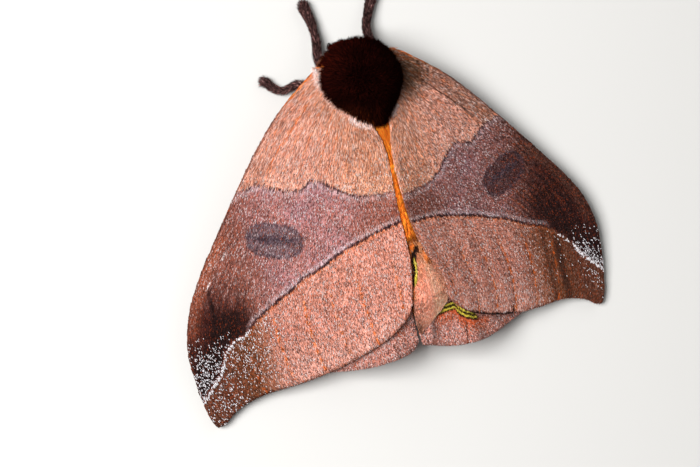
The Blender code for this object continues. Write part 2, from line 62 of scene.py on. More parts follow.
# Wings, as in the solids.
ROOT_DEPTH = 1.7
ROOF_REFERENCE_X = 5.5
ROOF_HEIGHT = 7.22
ROOF_SLOPE_X = -0.228
ROOF_SLOPE_Y = -0.0225
ROOF_BEND_X = 0.00971
ROOF_TWIST = -0.00803
ROOF_BEND_Y = 0.00176
HINDWING_DROP = 1.4
TAIL_DROOP = 0.6
TAIL_DROOP_FROM = 34.0
TAIL_DROOP_WIDTH = 7.0
FOREWING_COSTA = [(5.8, 0.2), (10.0, 2.7), (13.8, 5.6), (17.2, 9.0), (20.4, 12.6), (23.5, 16.3), (26.5, 20.0),
                  (29.4, 23.7), (31.8, 27.8), (33.0, 32.2), (32.9, 36.9), (32.3, 40.9), (31.7, 42.8),
                  (31.0, 43.5)]
FOREWING_OUTER = [(31.0, 43.5), (30.0, 43.2), (28.5, 42.2), (26.3, 41.4), (23.7, 41.0), (18.3, 40.9),
                  (13.0, 40.2), (7.8, 38.7), (5.5, 37.5), (3.7, 36.1), (2.8, 34.7)]
FOREWING_INNER = {
    "left": [(0.8, 10.0), (0.35, 12.0), (0.25, 14.2), (0.45, 16.8), (0.75, 19.5), (0.95, 22.5), (1.1, 25.6),
             (1.35, 28.8), (2.1, 32.2), (2.8, 34.7)],
    "right": [(1.8, 9.9), (1.0, 12.6), (0.45, 15.2), (0.25, 17.5), (0.15, 20.0), (0.1, 22.5), (0.4, 25.5),
              (1.1, 28.2), (2.3, 30.2), (2.95, 32.0), (2.8, 34.7)],
}
FOREWING_BASE = [(5.8, 0.2), (6.2, 2.3), (5.9, 4.6), (4.7, 6.6), (3.4, 7.9), (2.1, 9.2)]
HINDWING_COSTA = [(5.6, 4.6), (9.0, 8.0), (14.0, 14.0), (18.5, 20.5), (22.0, 27.5), (23.6, 33.5)]
HINDWING_OUTER = [(23.6, 33.5), (22.2, 37.2), (18.8, 39.5), (14.3, 40.7), (9.6, 41.5), (5.4, 41.4),
                  (2.9, 41.0)]
HINDWING_INNER = {
    "left": [(2.4, 10.6), (1.0, 13.0), (0.5, 18.0), (0.7, 24.0), (1.5, 30.0), (2.2, 35.0), (2.05, 37.8),
             (1.7, 40.0)],
    "right": [(2.4, 10.6), (0.6, 13.0), (0.2, 18.0), (-0.2, 24.0), (-1.0, 30.0), (-1.7, 35.0), (-1.55, 37.7),
              (-1.2, 39.7)],
}
HINDWING_BASE = [(5.6, 4.6), (4.6, 7.0), (3.6, 9.0)]
HINDWING_DEEPEST = 40.2
HINDWING_REACH = {"left": 0.0, "right": 0.9}
HINDWING_REACH_FROM = 30.0
FOREWING_VEINS = [(0.10, 0.05), (0.22, 0.14), (0.30, 0.27), (0.38, 0.41), (0.50, 0.54), (0.58, 0.66),
                  (0.66, 0.78), (0.84, 0.93)]
HINDWING_VEINS = [(0.12, 0.16), (0.26, 0.32), (0.38, 0.47), (0.52, 0.62), (0.64, 0.76), (0.84, 0.91)]
SKIN_THICKNESS = 0.24
VEIN_RIDGE = 0.05
VEIN_HALF_WIDTH = 0.16
RIM_SHARE = 0.3
# Pleats between the veins, and the nick in the right forewing's margin: its x, half width and depth.
PLEAT = 0.14
NICK = (15.0, 0.45, 1.3)

# The fold of the right hindwing that lies over its inner edge: y, then x at its left and right side.
FLAP = [(21.0, 0.7, -0.6), (24.0, 0.9, -1.2), (27.0, 1.15, -2.1), (30.0, 1.5, -3.4), (32.6, 1.8, -4.2),
        (34.5, 2.05, -4.0), (35.6, 2.15, -3.2), (36.6, 2.1, -1.9), (37.6, 2.0, -0.1), (38.3, 1.75, 0.9),
        (38.9, 1.5, 1.4)]
FLAP_ABOVE = 0.42
FLAP_BULGE = 0.35

# Markings of the forewings, seen from above, from the inner edge to the front edge.
INNER_LINE = {
    "left": [(0.0, 19.2), (1.2, 19.0), (4.5, 18.6), (6.0, 18.0), (8.0, 16.5), (9.5, 15.1), (10.7, 14.5),
             (12.2, 15.6), (14.7, 15.0), (16.5, 13.9), (18.0, 13.1), (21.0, 13.6), (24.0, 14.6)],
    "right": [(0.0, 19.8), (4.7, 19.5), (6.5, 19.0), (8.2, 18.2), (9.5, 17.0), (10.7, 16.0), (12.2, 15.0),
              (13.7, 15.2), (15.0, 15.6), (16.0, 15.0), (17.2, 14.1), (18.5, 13.5), (20.2, 13.0),
              (24.0, 13.6)],
}
OUTER_LINE = {
    "left": [(0.0, 23.2), (1.2, 23.2), (4.0, 23.7), (7.0, 24.5), (10.0, 25.4), (12.5, 26.5), (15.0, 27.2),
             (17.5, 28.5), (20.0, 29.5), (22.5, 30.8), (24.7, 32.4), (26.5, 32.7), (28.0, 34.0), (28.6, 35.5),
             (29.5, 36.7), (31.5, 38.5), (34.0, 40.8)],
    "right": [(0.0, 23.7), (3.0, 23.7), (5.5, 24.0), (7.5, 24.4), (10.0, 25.0), (12.5, 25.6), (15.5, 26.6),
              (18.5, 27.7), (21.5, 29.1), (24.5, 30.2), (26.2, 31.7), (27.2, 32.5), (28.7, 34.0),
              (29.5, 35.5), (30.5, 36.5), (32.0, 38.0), (34.0, 39.6)],
}
STREAK_FROM = {"left": 24.6, "right": 25.5}
COSTAL_DASHES = [(25.0, 21.3), (28.0, 24.5)]
SPOT_CENTRE = {"left": (17.5, 21.2), "right": (19.3, 21.2)}
SPOT_HALF = (4.0, 2.3)
SPOT_TURN = math.radians(-24.0)
FRONT_CREASE = [(6.0, 2.4), (9.5, 5.5), (14.2, 9.7), (18.0, 13.6)]

# Markings of the hindwings and of the fold.
RING_LINE = {
    "left": [(3.0, 30.0), (5.0, 34.0), (9.0, 36.5), (14.0, 36.0)],
    "right": [(1.4, 36.2), (3.5, 36.15), (4.7, 36.2), (5.45, 37.1), (6.3, 37.9), (7.35, 38.45), (8.4, 38.65)],
}
RING_BANDS = [(-0.15, 0.15), (0.42, 0.72)]
FLAP_RING = [(-0.45, 26.9), (0.15, 27.6), (0.55, 28.4), (0.62, 29.4), (0.75, 30.2), (1.05, 31.1),
             (1.45, 32.1)]
EYESPOT = (10.5, 25.5)
HIND_CREASE = [(5.9, 38.9), (5.6, 40.4), (5.2, 42.2)]

# Body, as in the solids.
THORAX_CENTRE = (0.0, 3.5, 6.9)
THORAX_RADII = (5.45, 5.7, 5.1)
THORAX_DOWN = 5.5
THORAX_REAR_TAPER = 0.45
THORAX_CHIN = 0.33
COAT_DEPTH = 1.0
# How far the fur may reach, as a share of the thorax's size, and the way to the shoulder where it is longest.
THORAX_FUR = 1.2
SHOULDER = (0.83, -0.55, 0.1)
HEAD_CENTRE = (0.0, -0.45, 3.65)
HEAD_RADII = (2.3, 1.8, 2.1)
EYE_CENTRE = (1.8, -0.95, 3.72)
EYE_RADIUS = 0.98
PALP_ROOT = (0.75, -1.3, 2.2)
PALP_TIP = (0.85, -2.35, 1.85)
PALP_RADIUS = 0.55
ABDOMEN = [(7.6, 1.9, 1.8, 4.2), (9.0, 2.5, 2.3, 4.0), (12.0, 3.3, 2.8, 3.45), (16.0, 3.8, 3.2, 3.3),
           (20.0, 4.0, 3.4, 3.4), (25.0, 3.9, 3.6, 3.6), (30.0, 3.4, 3.4, 3.4), (33.5, 2.6, 2.7, 2.75),
           (36.0, 1.5, 1.7, 1.9), (37.2, 0.6, 0.7, 1.3)]
LEGS = {
    "foreleg_left": [(2.4, 2.2, 2.6), (3.1, 0.8, 2.8), (3.28, -1.2, 2.35), (2.5, -3.4, 1.6), (2.2, -5.6, 1.0),
                     (2.35, -7.1, 0.85), (2.65, -8.3, 0.8)],
    "foreleg_right": [(-2.3, 2.2, 2.6), (-3.7, 0.8, 3.0), (-4.9, -0.9, 2.95), (-5.25, -2.7, 2.15),
                      (-5.65, -4.0, 1.6), (-6.4, -5.2, 1.2), (-7.4, -6.7, 0.87), (-8.1, -7.8, 0.8)],
    "midleg_left": [(2.2, 4.0, 2.6), (4.4, 3.7, 2.8), (6.0, 2.4, 2.6), (7.0, 1.6, 1.9), (8.1, 1.8, 1.25),
                    (9.2, 1.9, 0.8), (10.3, 1.15, 0.62), (11.0, 0.2, 0.6)],
    "midleg_right": [(-2.2, 4.0, 2.6), (-4.4, 4.5, 2.7), (-6.3, 4.6, 2.3), (-7.8, 4.8, 1.2),
                     (-9.4, 5.3, 0.65), (-10.9, 5.8, 0.6)],
    "hindleg_left": [(2.3, 6.3, 3.0), (4.2, 7.7, 2.9), (6.3, 10.0, 2.6), (7.6, 13.2, 1.5), (8.6, 16.2, 0.7),
                     (9.4, 19.6, 0.6)],
}
LEGS["hindleg_right"] = [(-x, y, z) for x, y, z in LEGS["hindleg_left"]]
LEG_RADII = {"fore": (0.8, 0.68, 0.6, 0.85), "mid": (0.8, 0.7, 0.55, 0.65), "hind": (0.85, 0.75, 0.6, 0.65)}
ANTENNA_PATH = [(0.9, -1.1, 5.45), (2.6, -1.0, 5.35), (4.3, 0.3, 4.9), (5.9, 2.8, 4.3), (7.6, 6.0, 3.8),
                (9.0, 9.6, 3.5)]

# Colours as seen in even light, red, green and blue out of 255; a few are painted shade or shadow, as noted.
PINK_TAN = (230, 164, 142)
PINK_INNER = (214, 150, 120)
BAND = (166, 108, 100)
BAND_LILAC = (168, 118, 122)
BAND_FRONT = (138, 84, 72)
BAND_INNER = (142, 84, 71)
OUTER_PINK = (204, 136, 117)
OUTER_EDGE = (206, 146, 130)
APEX_DARK = (46, 14, 10)
TIP_BROWN = (112, 62, 36)
TIP_EDGE = (92, 50, 36)
LINE_DARK = (40, 20, 26)
LILAC_WHITE = (238, 234, 246)
FLECK_WHITE = (255, 246, 255)
UNDER_TAN = (172, 114, 92)
# The right wing's spot grey is darker as painted shade.
SPOT_GREY = {"left": (106, 84, 90), "right": (60, 34, 36)}
SPOT_DARK = (60, 46, 56)
VEIN_ORANGE = (234, 104, 30)
COSTA_ORANGE = (214, 108, 36)
BASE_BROWN = (98, 70, 50)
BASE_WHITE = (250, 242, 242)
HAIR_ORANGE = (250, 122, 40)
FLAP_PINK = (255, 158, 130)
FLAP_TAN = (226, 140, 88)
RING_YELLOW = (255, 222, 78)
RING_BLACK = (22, 12, 10)
HIND_PINK = (214, 146, 132)
HIND_ORANGE = (226, 104, 62)
FUR_DARK = (12, 2, 2)
FUR_TIP = (74, 20, 10)
LEG_FUR = (78, 54, 52)
BELLY_TAN = (150, 92, 62)
HORN = (150, 84, 42)
# The right wing's front tan is the same tan, darker as painted shade.
FRONT_TAN = {"left": (176, 96, 66), "right": (96, 56, 40)}
# On the right wing the crease is painted shade, dark, where the left one is orange.
CREASE_TINT = {"left": VEIN_ORANGE, "right": (60, 32, 22)}
# Painted shadow beside the veins.
VEIN_SHADOW = (96, 48, 34)
STROKE_DARK = (18, 6, 6)
CORNER_DARK = (20, 6, 5)
FOLD_SHADE = (40, 20, 14)
# Painted shadow in the crack along the right forewing's margin, over the hindwing.
SLIT_SHADOW = (26, 12, 10)
# Brown of the right forewing's inner edge, darkened as painted shade.
INNER_EDGE_SHADE = (140, 84, 58)
EYESPOT_GREY = (120, 110, 130)
CLAW_BROWN = (60, 36, 26)
FACETS = [(34, 22, 18), (12, 8, 8)]
EYESPOT_RINGS = [(7.5, RING_YELLOW), (6.9, RING_BLACK), (5.6, EYESPOT_GREY), (2.6, RING_BLACK)]

# The single scales differ from the colour of their place: the share of each kind, its colour, how far it goes
# towards it, and whether it fades where the wing is dark.
MOTTLE = [(0.22, (252, 240, 242), 0.72, True), (0.15, (214, 84, 34), 0.48, False),
          (0.28, (40, 16, 14), 0.52, False)]
MOTTLE_LEVEL = 1.06

# The wings' coats: how many scales on the left and on the right wing, their length, width and lift.
SCALES = {
    "forewing_scales": (49500, 49500, 0.35, 0.145, 0.08),
    "forewing_root_hair": (5500, 5500, 1.1, 0.11, 0.14),
    "forewing_flecks": (1250, 550, 0.19, 0.155, 0.2),
    "forewing_under_scales": (14000, 14000, 0.9, 0.24, 0.08),
    "hindwing_scales": (16500, 16500, 0.36, 0.15, 0.08),
    "hindwing_ring_scales": (0, 2600, 0.2, 0.1, 0.05),
    "hindwing_under_scales": (10000, 10000, 0.9, 0.24, 0.08),
}
# How many tufts the other coats start from.
TUFTS = {"thorax": 14500, "head": 7000, "abdomen": 9500, "gap": 9000, "fold": 9000, "leg": 2600, "palp": 500}

# Surfaces that take the tint: roughness, grain per millimetre, contrast, bump, specular level and shade.
LOOKS = {
    "wing_scales": (0.7, 3.0, 0.06, 0.0, 0.15, 1.0),
    "wing_membrane": (0.8, 5.0, 0.3, 0.6, 0.15, 1.0),
    "wing_underside": (0.8, 5.0, 0.3, 0.6, 0.15, 0.85),
    "fur": (0.95, 2.0, 0.15, 0.0, 0.0, 1.0),
    "body_hide": (0.9, 6.0, 0.3, 0.6, 0.05, 1.0),
    "feeler_horn": (0.5, 6.0, 0.2, 0.3, 0.3, 1.0),
}

# Tufts: how high their back stands for their width, their shade at root and tip, and their patch of unwrap.
TUFT_BACK = 0.7
ROOT_SHADE = 0.8
TIP_SHADE = 1.12
UV_PATCH = 0.003
MARGIN_OVERHANG = 0.1

SIGN = {"left": 1.0, "right": -1.0}
UP = np.array((0.0, 0.0, 1.0))
rng = np.random.default_rng(SEED)


def place(points):
    """Points in this file's millimetres as points of the row frame, in metres."""
    return (np.asarray(points, float) - (0.0, ORIGIN_Y, 0.0)) * MM


def on_side(side, points):
    """Points of the left side, mirrored for the right one."""
    return np.asarray(points) * (SIGN[side], 1.0, 1.0)


def linear(colours):
    """Colours out of 255 as the renderer's linear ones."""
    c = np.clip(np.asarray(colours, float) / 255.0, 0.0, 1.0)
    return np.where(c < 0.04045, c / 12.92, ((c + 0.055) / 1.055) ** 2.4)


def ramp(value, low, high):
    """0 below low, 1 above high and a smooth rise between."""
    t = np.clip((value - low) / (high - low), 0.0, 1.0)
    return t * t * (3.0 - 2.0 * t)


def fall(value, low, high):
    """1 below low, 0 above high and a smooth fall between."""
    return 1.0 - ramp(value, low, high)


def near(distance, full, none):
    """1 where the distance, either way, is below full, and 0 beyond none."""
    return fall(np.abs(distance), full, none)


def within(value, a, b, c, d):
    """0 up to a, 1 from b to c and 0 from d, with smooth borders."""
    return ramp(value, a, b) * fall(value, c, d)


def solid(colour, like):
    """One colour for each of the numbers in like."""
    return np.full(np.shape(like) + (3,), colour, float)


def blend(a, b, share):
    """The colours a, changed towards b by the share at each point."""
    return a + (np.asarray(b, float) - a) * share[..., None]


def paint(tint, *marks):
    """The colours with each mark's colour laid on in turn, by its share at each point."""
    for colour, share in marks:
        tint = blend(tint, colour, share)
    return tint


def unit(vectors):
    return vectors / np.maximum(np.linalg.norm(vectors, axis=-1, keepdims=True), 1e-12)


def flat(vectors, normals):
    """The part of the vectors that lies in the surface with these normals."""
    return vectors - normals * np.sum(vectors * normals, -1, keepdims=True)


def curve(points, shares):
    """The points at these shares of the way along a smooth curve, as the solids have it."""
    p = np.asarray(points, float)
    along = np.concatenate([[0.0], np.cumsum(np.linalg.norm(np.diff(p, axis=0), axis=1))])
    want = np.clip(np.asarray(shares, float), 0.0, 1.0) * along[-1]
    i = np.clip(np.searchsorted(along, want, side="left") - 1, 0, len(p) - 2)
    t = ((want - along[i]) / (along[i + 1] - along[i]))[:, None]
    before = np.vstack([2 * p[0] - p[1], p])
    after = np.vstack([p, 2 * p[-1] - p[-2]])
    a, b, c, d = before[i], p[i], p[i + 1], after[i + 2]
    return 0.5 * (2 * b + (c - a) * t + (2 * a - 5 * b + 4 * c - d) * t ** 2
                  + (3 * b - a - 3 * c + d) * t ** 3)


def between(values, shares):
    """Numbers at these shares of the way along evenly spaced values."""
    return np.interp(shares, np.linspace(0.0, 1.0, len(values)), values)


def roof(x, y):
    side = np.abs(x) - ROOF_REFERENCE_X
    return (ROOF_HEIGHT + ROOF_SLOPE_X * side + ROOF_SLOPE_Y * y + ROOF_BEND_X * side * side
            + ROOF_TWIST * side * y + ROOF_BEND_Y * y * y)


def hindwing_height(x, y):
    fade = near(x, 0.0, TAIL_DROOP_WIDTH)
    return roof(x, y) - HINDWING_DROP - TAIL_DROOP * np.maximum(y - TAIL_DROOP_FROM, 0.0) * fade


def into_thorax(base):
    """A wing's root line, moved into the side of the thorax."""
    p = np.asarray(base, float)
    return p - unit(p - THORAX_CENTRE[:2]) * ROOT_DEPTH


def wing_surface(base, costa, inner, outer, height, u, v, stretch=None):
    """The wing's middle surface on the grid of u, from costa to inner edge, and v, from root to margin.

    Points have x positive on both wings. Returns an array of len(u) by len(v) points.
    """
    sunk = into_thorax(base)
    costa, inner = np.vstack([sunk[:1], costa]), np.vstack([sunk[-1:], inner])
    cu, iu = curve(costa, v)[None], curve(inner, v)[None]
    bu, ou = curve(sunk, u)[:, None], curve(outer, u)[:, None]
    s, t = u[:, None, None], v[None, :, None]
    xy = (1 - s) * cu + s * iu + (1 - t) * bu + t * ou
    xy -= (1 - s) * (1 - t) * costa[0] + s * (1 - t) * inner[0] + (1 - s) * t * costa[-1] + s * t * inner[-1]
    if stretch:
        xy[..., 1] = stretch(xy[..., 1])
    return np.dstack([xy, height(xy[..., 0], xy[..., 1])])


def normals_of(grid):
    """Unit normals of a grid of points, pointing up."""
    n = unit(np.cross(np.gradient(grid, axis=0), np.gradient(grid, axis=1)))
    return n * np.sign(n[..., 2:3])


def from_line(points, x, y):
    """How far each point lies outside a marking's line, square to it."""
    xs, ys = np.array(points, float).T
    here = np.interp(x, xs, ys)
    slope = (np.interp(x + 0.2, xs, ys) - np.interp(x - 0.2, xs, ys)) / 0.4
    return (y - here) / np.sqrt(1.0 + slope * slope)


def x_on(points, y):
    """The x at each y of a line whose points run from front to back."""
    xs, ys = np.array(points, float).T
    return np.interp(y, ys, xs)


def near_vein(veins, u, v, width, half=VEIN_HALF_WIDTH):
    """1 on a vein's crest and 0 away from it, where width is the wing's width in millimetres there."""
    found = np.zeros(np.broadcast(u, v).shape)
    for root, tip in veins:
        distance = np.abs(u - root - (tip - root) * v) * width
        found = np.maximum(found, fall(distance, 0.0, half))
    return found


def wave(x, y, size):
    """A soft irregular pattern between -1 and 1 with patches of about this size."""
    a, b = x / size, y / size
    return (np.sin(a * 2.1 + 1.3 * np.sin(b * 1.7)) + np.sin(b * 2.3 + 1.1 * np.sin(a * 1.9 + 0.7))
            + np.sin((a + b) * 3.1)) / 3.0


def spot_distance(side, x, y):
    """0 at the middle of the spot on the forewing and 1 on its rim."""
    cx, cy = SPOT_CENTRE[side]
    c, s = math.cos(SPOT_TURN), math.sin(SPOT_TURN)
    a = ((x - cx) * c + (y - cy) * s) / SPOT_HALF[0]
    b = ((y - cy) * c - (x - cx) * s) / SPOT_HALF[1]
    return (np.abs(a) ** 2.6 + np.abs(b) ** 2.6) ** (1 / 2.6)


def fleck_density(side, x, y):
    """How thickly white flecks lie: most along the streak near the wing's tip, many in front of it."""
    d = from_line(OUTER_LINE[side], x, y)
    start = STREAK_FROM[side]
    before = ramp(x, 25.5, 29.5) * ramp(y, 30.0, 36.5) * fall(d, -0.3, 0.3)
    beyond = 0.3 * ramp(d, 0.0, 0.6) * (1.0 - 0.8 * ramp(d, 2.0, 8.0)) * ramp(x, 18.5, 23.0)
    if side == "left":
        streak = near(d, 0.04, 0.15) * ramp(x, start - 0.9, start)
        streak *= 0.45 + 0.55 * ramp(wave(x, y, 0.5), -0.4, 0.2)
        return 9.0 * streak + before * 0.8 + beyond
    strong = ramp(x, 28.2, 28.6)
    faint = 0.55 * (1.0 - strong) * ramp(wave(x, y, 0.4), -0.2, 0.2) * fall(x, 27.6, 27.9)
    streak = near(d, 0.04, 0.15 + 0.07 * strong) * ramp(x, start - 0.3, start)
    streak *= strong * (0.6 + 0.4 * wave(x, y, 0.3)) + faint
    before *= ramp(x, 28.0, 29.6) * (0.3 + 0.6 * ramp(d, -2.4, -1.2))
    beyond *= 0.08 + 0.6 * within(x, 29.0, 30.0, 31.5, 33.0) * within(d, 0.5, 1.0, 2.0, 3.0)
    return 9.0 * streak + before + beyond


def forewing_fields(right, x, y, inner, outer):
    """The forewing's three fields of colour, parted by its two lines."""
    root = paint(solid(PINK_TAN, x), (PINK_INNER, fall(x, 2.0, 11.0)),
                 (BASE_BROWN, (0.95 if right else 0.12) * fall(np.hypot(x - 7.0, y - 3.6), 0.8, 5.0)),
                 (BASE_BROWN, 0.3 * ramp(x - 0.9 * y, 4.2, 6.5) * (1.0 if right else 0.4)))
    band = paint(solid(BAND, x), (BAND_LILAC, 0.5 + 0.5 * wave(x, y, 3.0)), (BAND_INNER, fall(x, 3.0, 9.0)),
                 (BAND_FRONT, ramp(x, 16.0, 24.0)))
    blotch = within(y + 0.12 * x, 32.0, 34.0, 36.0, 38.0) * ramp(x, 6.0, 9.0)
    far = paint(solid(OUTER_PINK, x), (OUTER_EDGE, ramp(y, 33.0, 40.0)),
                (BAND, 0.22 * blotch * (0.6 + 0.6 * wave(x, y, 1.5))),
                (TIP_BROWN, ramp(x + 0.5 * wave(x, y, 0.8), 19.5 - 2.5 * right, 25.0)),
                (TIP_EDGE, ramp(x, 25.0, 29.0) * 0.7))
    # The band on the right wing is darker, as painted shade.
    return paint(root, (band * (0.88 if right else 1.0), ramp(inner, -0.08, 0.08)),
                 (far, ramp(outer, -0.06, 0.06)))


def tip_marks(side, x, y, u, v, width, outer):
    """The dark corner in front of the streak, with its strokes, the painted shadows behind two fold lines, and
    the front's tan, darker on the right wing as painted shade.
    """
    right = side == "right"
    before = fall(outer, -0.2, 0.0)
    if right:
        dark = ramp(x + 0.3 * (y - 27.0), 17.5, 26.5)
    else:
        dark = ramp(x + 0.45 * (y - 29.0), 21.0, 26.0) * ramp(y + 0.3 * x, 31.0, 38.5)
    strokes = ramp(wave(u * width, 7.2 * v, 0.42), 0.0, 0.5) * ramp(x, 19.0, 24.0) * (1.0 if right else 0.4)
    orange = ramp(wave(u * width + 3.0, 7.0 * v, 0.4), 0.3, 0.7) * right * within(x, 15.0, 19.0, 27.0, 30.0)
    # Painted shadow along two fold lines behind the streak, on the right wing only.
    fold_shadows = near(x - 25.7, 0.25, 0.8) + 0.6 * near(x - 23.4, 0.1, 0.5)
    deep = within(outer, -4.4, -2.6, -0.6, -0.1) * ramp(x, 22.5, 26.0)
    return [(APEX_DARK, np.clip(dark * (0.9 + 0.12 * wave(x, y, 0.7)), 0.0, 1.0) * before),
            (STROKE_DARK, 0.6 * strokes * before),
            (VEIN_ORANGE, 0.2 * orange * before),
            (FOLD_SHADE, np.clip(fold_shadows, 0.0, 1.0) * 0.6 * right * ramp(outer, 0.3, 1.2)),
            (CORNER_DARK, (0.45 if right else 0.75) * deep * before),
            # Darker on the right wing, as painted shade.
            (FRONT_TAN[side], 0.55 * within(y, 17.0, 20.0, 29.0, 33.0) * fall(u * width, 1.2, 3.2))]


def spot_marks(side, x, y):
    """The spot, its rim and the dark stroke across it."""
    rim = spot_distance(side, x + 0.2 * wave(x, y, 0.6), y + 0.2 * wave(y, x, 0.5))
    cx, cy = SPOT_CENTRE[side]
    stroke = np.abs((y - cy + 0.2) + 0.32 * (x - cx)) + 0.35 * np.maximum(np.abs(x - cx) - 1.6, 0.0)
    # The spot is darker on the right wing, as painted shade.
    return [(SPOT_GREY[side], fall(rim, 0.9, 1.04) * (0.68 if side == "right" else 0.85)),
            (SPOT_DARK, near(rim - 0.94, 0.02, 0.12) * 0.55),
            (SPOT_DARK, fall(stroke, 0.2, 1.0) * 0.75)]


def line_marks(side, x, inner, outer, ragged):
    """The two dark lines with their pale borders."""
    strong = (0.6 + 0.4 * ramp(x, 3.0, 7.0)) * fall(x, 19.0, 22.0)
    plain = fall(x, STREAK_FROM[side] - 1.1, STREAK_FROM[side])
    return [(LILAC_WHITE, near(inner - 0.45, 0.1, 0.6) * 0.28),
            (LINE_DARK, near(inner + ragged, 0.05, 0.2) * strong * 0.8),
            (LILAC_WHITE, near(outer + 0.4, 0.1, 0.5) * plain * 0.35),
            (VEIN_ORANGE, near(outer - 0.3, 0.05, 0.3) * plain * 0.3),
            (LINE_DARK, near(outer + ragged, 0.07, 0.24) * plain * 0.95)]


def vein_marks(side, x, y, u, v, width, inner, outer):
    """Veins, orange near the root and with painted shadow beside them in the outer field, and the crease near
    the front, painted shade on the right wing.
    """
    broken = ramp(wave(x * 0.6, y, 0.5), -0.3, 0.3)
    veins = near_vein(FOREWING_VEINS, u, v, width, 0.27) * broken
    # Painted shadow beside the veins, stronger on the right wing.
    beside = near_vein(FOREWING_VEINS, u - 0.3 / width, v, width, 0.3) * broken
    creased = ramp(outer, 0.8, 2.2) * ramp(y, 27.0, 33.0) * (1.0 - 0.8 * ramp(x, 25.0, 28.0))
    # The crease: orange on the left wing, painted shade on the right.
    crease = near(from_line(FRONT_CREASE, x, y), 0.04, 0.15) * within(x, 7.5, 9.0, 14.5, 16.5)
    return [(VEIN_SHADOW, beside * creased * (0.35 if side == "left" else 0.75)),
            (VEIN_ORANGE, veins * creased * 0.9),
            (VEIN_ORANGE, veins * fall(inner, -3.0, 0.0) * 0.3),
            (CREASE_TINT[side], crease * 0.75)]


def edge_marks(side, x, y, u, v, width):
    """The margins: orange and brown in front; brown behind, partly fringe and partly painted shadow; on the
    right one a painted shadow in the crack along its margin, and a brown inner edge darkened as painted shade.
    """
    right = side == "right"
    front = fall(u * width, 0.1, 0.38)
    # Painted shadow: a dark line in the crack between the right forewing's margin and the hindwing.
    slit_shadow = within(x, 6.0, 7.0, 14.6, 15.2) * ramp(v, 0.986, 0.992) * right
    marks = [(COSTA_ORANGE, front * fall(x, 9.5, 13.0)),
             (TIP_EDGE, front * ramp(x, 9.5, 13.0) * 0.6),
             # Dark line along the outer margin: partly the fringe's own colour, partly painted shadow.
             (TIP_EDGE, ramp((1.0 - v) * -40.0, -0.45, -0.1) * 0.65),
             (SLIT_SHADOW, slit_shadow),
             # The right forewing's inner edge: brown, darkened as painted shade.
             (INNER_EDGE_SHADE, fall((1.0 - u) * width, 0.15, 0.7) * 0.75 * right * ramp(y, 20.0, 24.0))]
    for cx, cy in [] if right else COSTAL_DASHES:
        along, aside = (x - cx) * 0.66 + (y - cy) * 0.75, (x - cx) * 0.75 - (y - cy) * 0.66
        marks.append((BASE_WHITE, near(along, 0.3, 0.8) * near(aside, 0.05, 0.2) * 0.8))
    return marks


def forewing_tint(side, x, y, u, v, width):
    """The forewing's colour at each point, out of 255."""
    right = side == "right"
    inner, outer = (from_line(line[side], x, y) for line in (INNER_LINE, OUTER_LINE))
    ragged = 0.14 * wave(x, y, 0.35) + 0.1 * wave(y, x, 0.9)
    tint = forewing_fields(right, x, y, inner + ragged, outer + ragged)
    tint = paint(tint, *tip_marks(side, x, y, u, v, width, outer), *spot_marks(side, x, y),
                 *line_marks(side, x, inner, outer, ragged),
                 *vein_marks(side, x, y, u, v, width, inner, outer), *edge_marks(side, x, y, u, v, width))
    shade = 1.0 + 0.05 * wave(x, y, 2.3) + 0.04 * wave(y, x, 1.1)
    # The right wing darkens outward from its root, as painted shade.
    right_wing_shade = 1.0 - (0.01 + 0.08 * ramp(x, 6.0, 18.0)) * right
    return tint * (shade * right_wing_shade)[..., None]


def ring_zone(x, y):
    """1 on the piece of the hindwing's ring that shows beside the fold, and 0 elsewhere."""
    ring = from_line(RING_LINE["right"], x, y)
    return within(x, 0.6, 1.4, 7.9, 8.5) * within(ring, -0.42, -0.38, 0.95, 1.1)


def hindwing_tint(side, x, y, u, v, width):
    """The hindwing's colour at each point, out of 255."""
    away = np.hypot(x - EYESPOT[0], y - EYESPOT[1])
    ring = from_line(RING_LINE[side], x, y) + 0.07 * wave(x, y, 0.11)
    there = within(x, 0.6, 1.4, 7.9, 8.5)
    glow = within(x, 0.6, 1.4, 9.0, 11.0) * within(ring, 0.6, 0.9, 1.3, 3.0)
    bands = [within(ring, low, low + 0.05, high - 0.05, high) for low, high in RING_BANDS]
    veins = near_vein(HINDWING_VEINS, u, v, width) * ramp(wave(x, y * 0.6, 0.6), -0.3, 0.4)
    crease = near(x - x_on(HIND_CREASE, y), 0.04, 0.2) * within(y, 38.8, 39.4, 42.5, 43.0)
    return paint(solid(HAIR_ORANGE, x), (HIND_PINK, ramp(y + 0.35 * x, 27.0, 32.0)),
                 *((colour, fall(away, size - 0.3, size)) for size, colour in EYESPOT_RINGS),
                 (HIND_ORANGE, glow), (RING_BLACK, there * within(ring, -0.4, -0.34, 0.84, 1.05)),
                 *((RING_YELLOW, there * band) for band in bands),
                 (HIND_ORANGE, veins * ramp(y, 34.0, 37.0) * 0.5), (TIP_EDGE, crease * 0.8),
                 (TIP_EDGE, ramp(v, 0.992, 1.0) * 0.45))


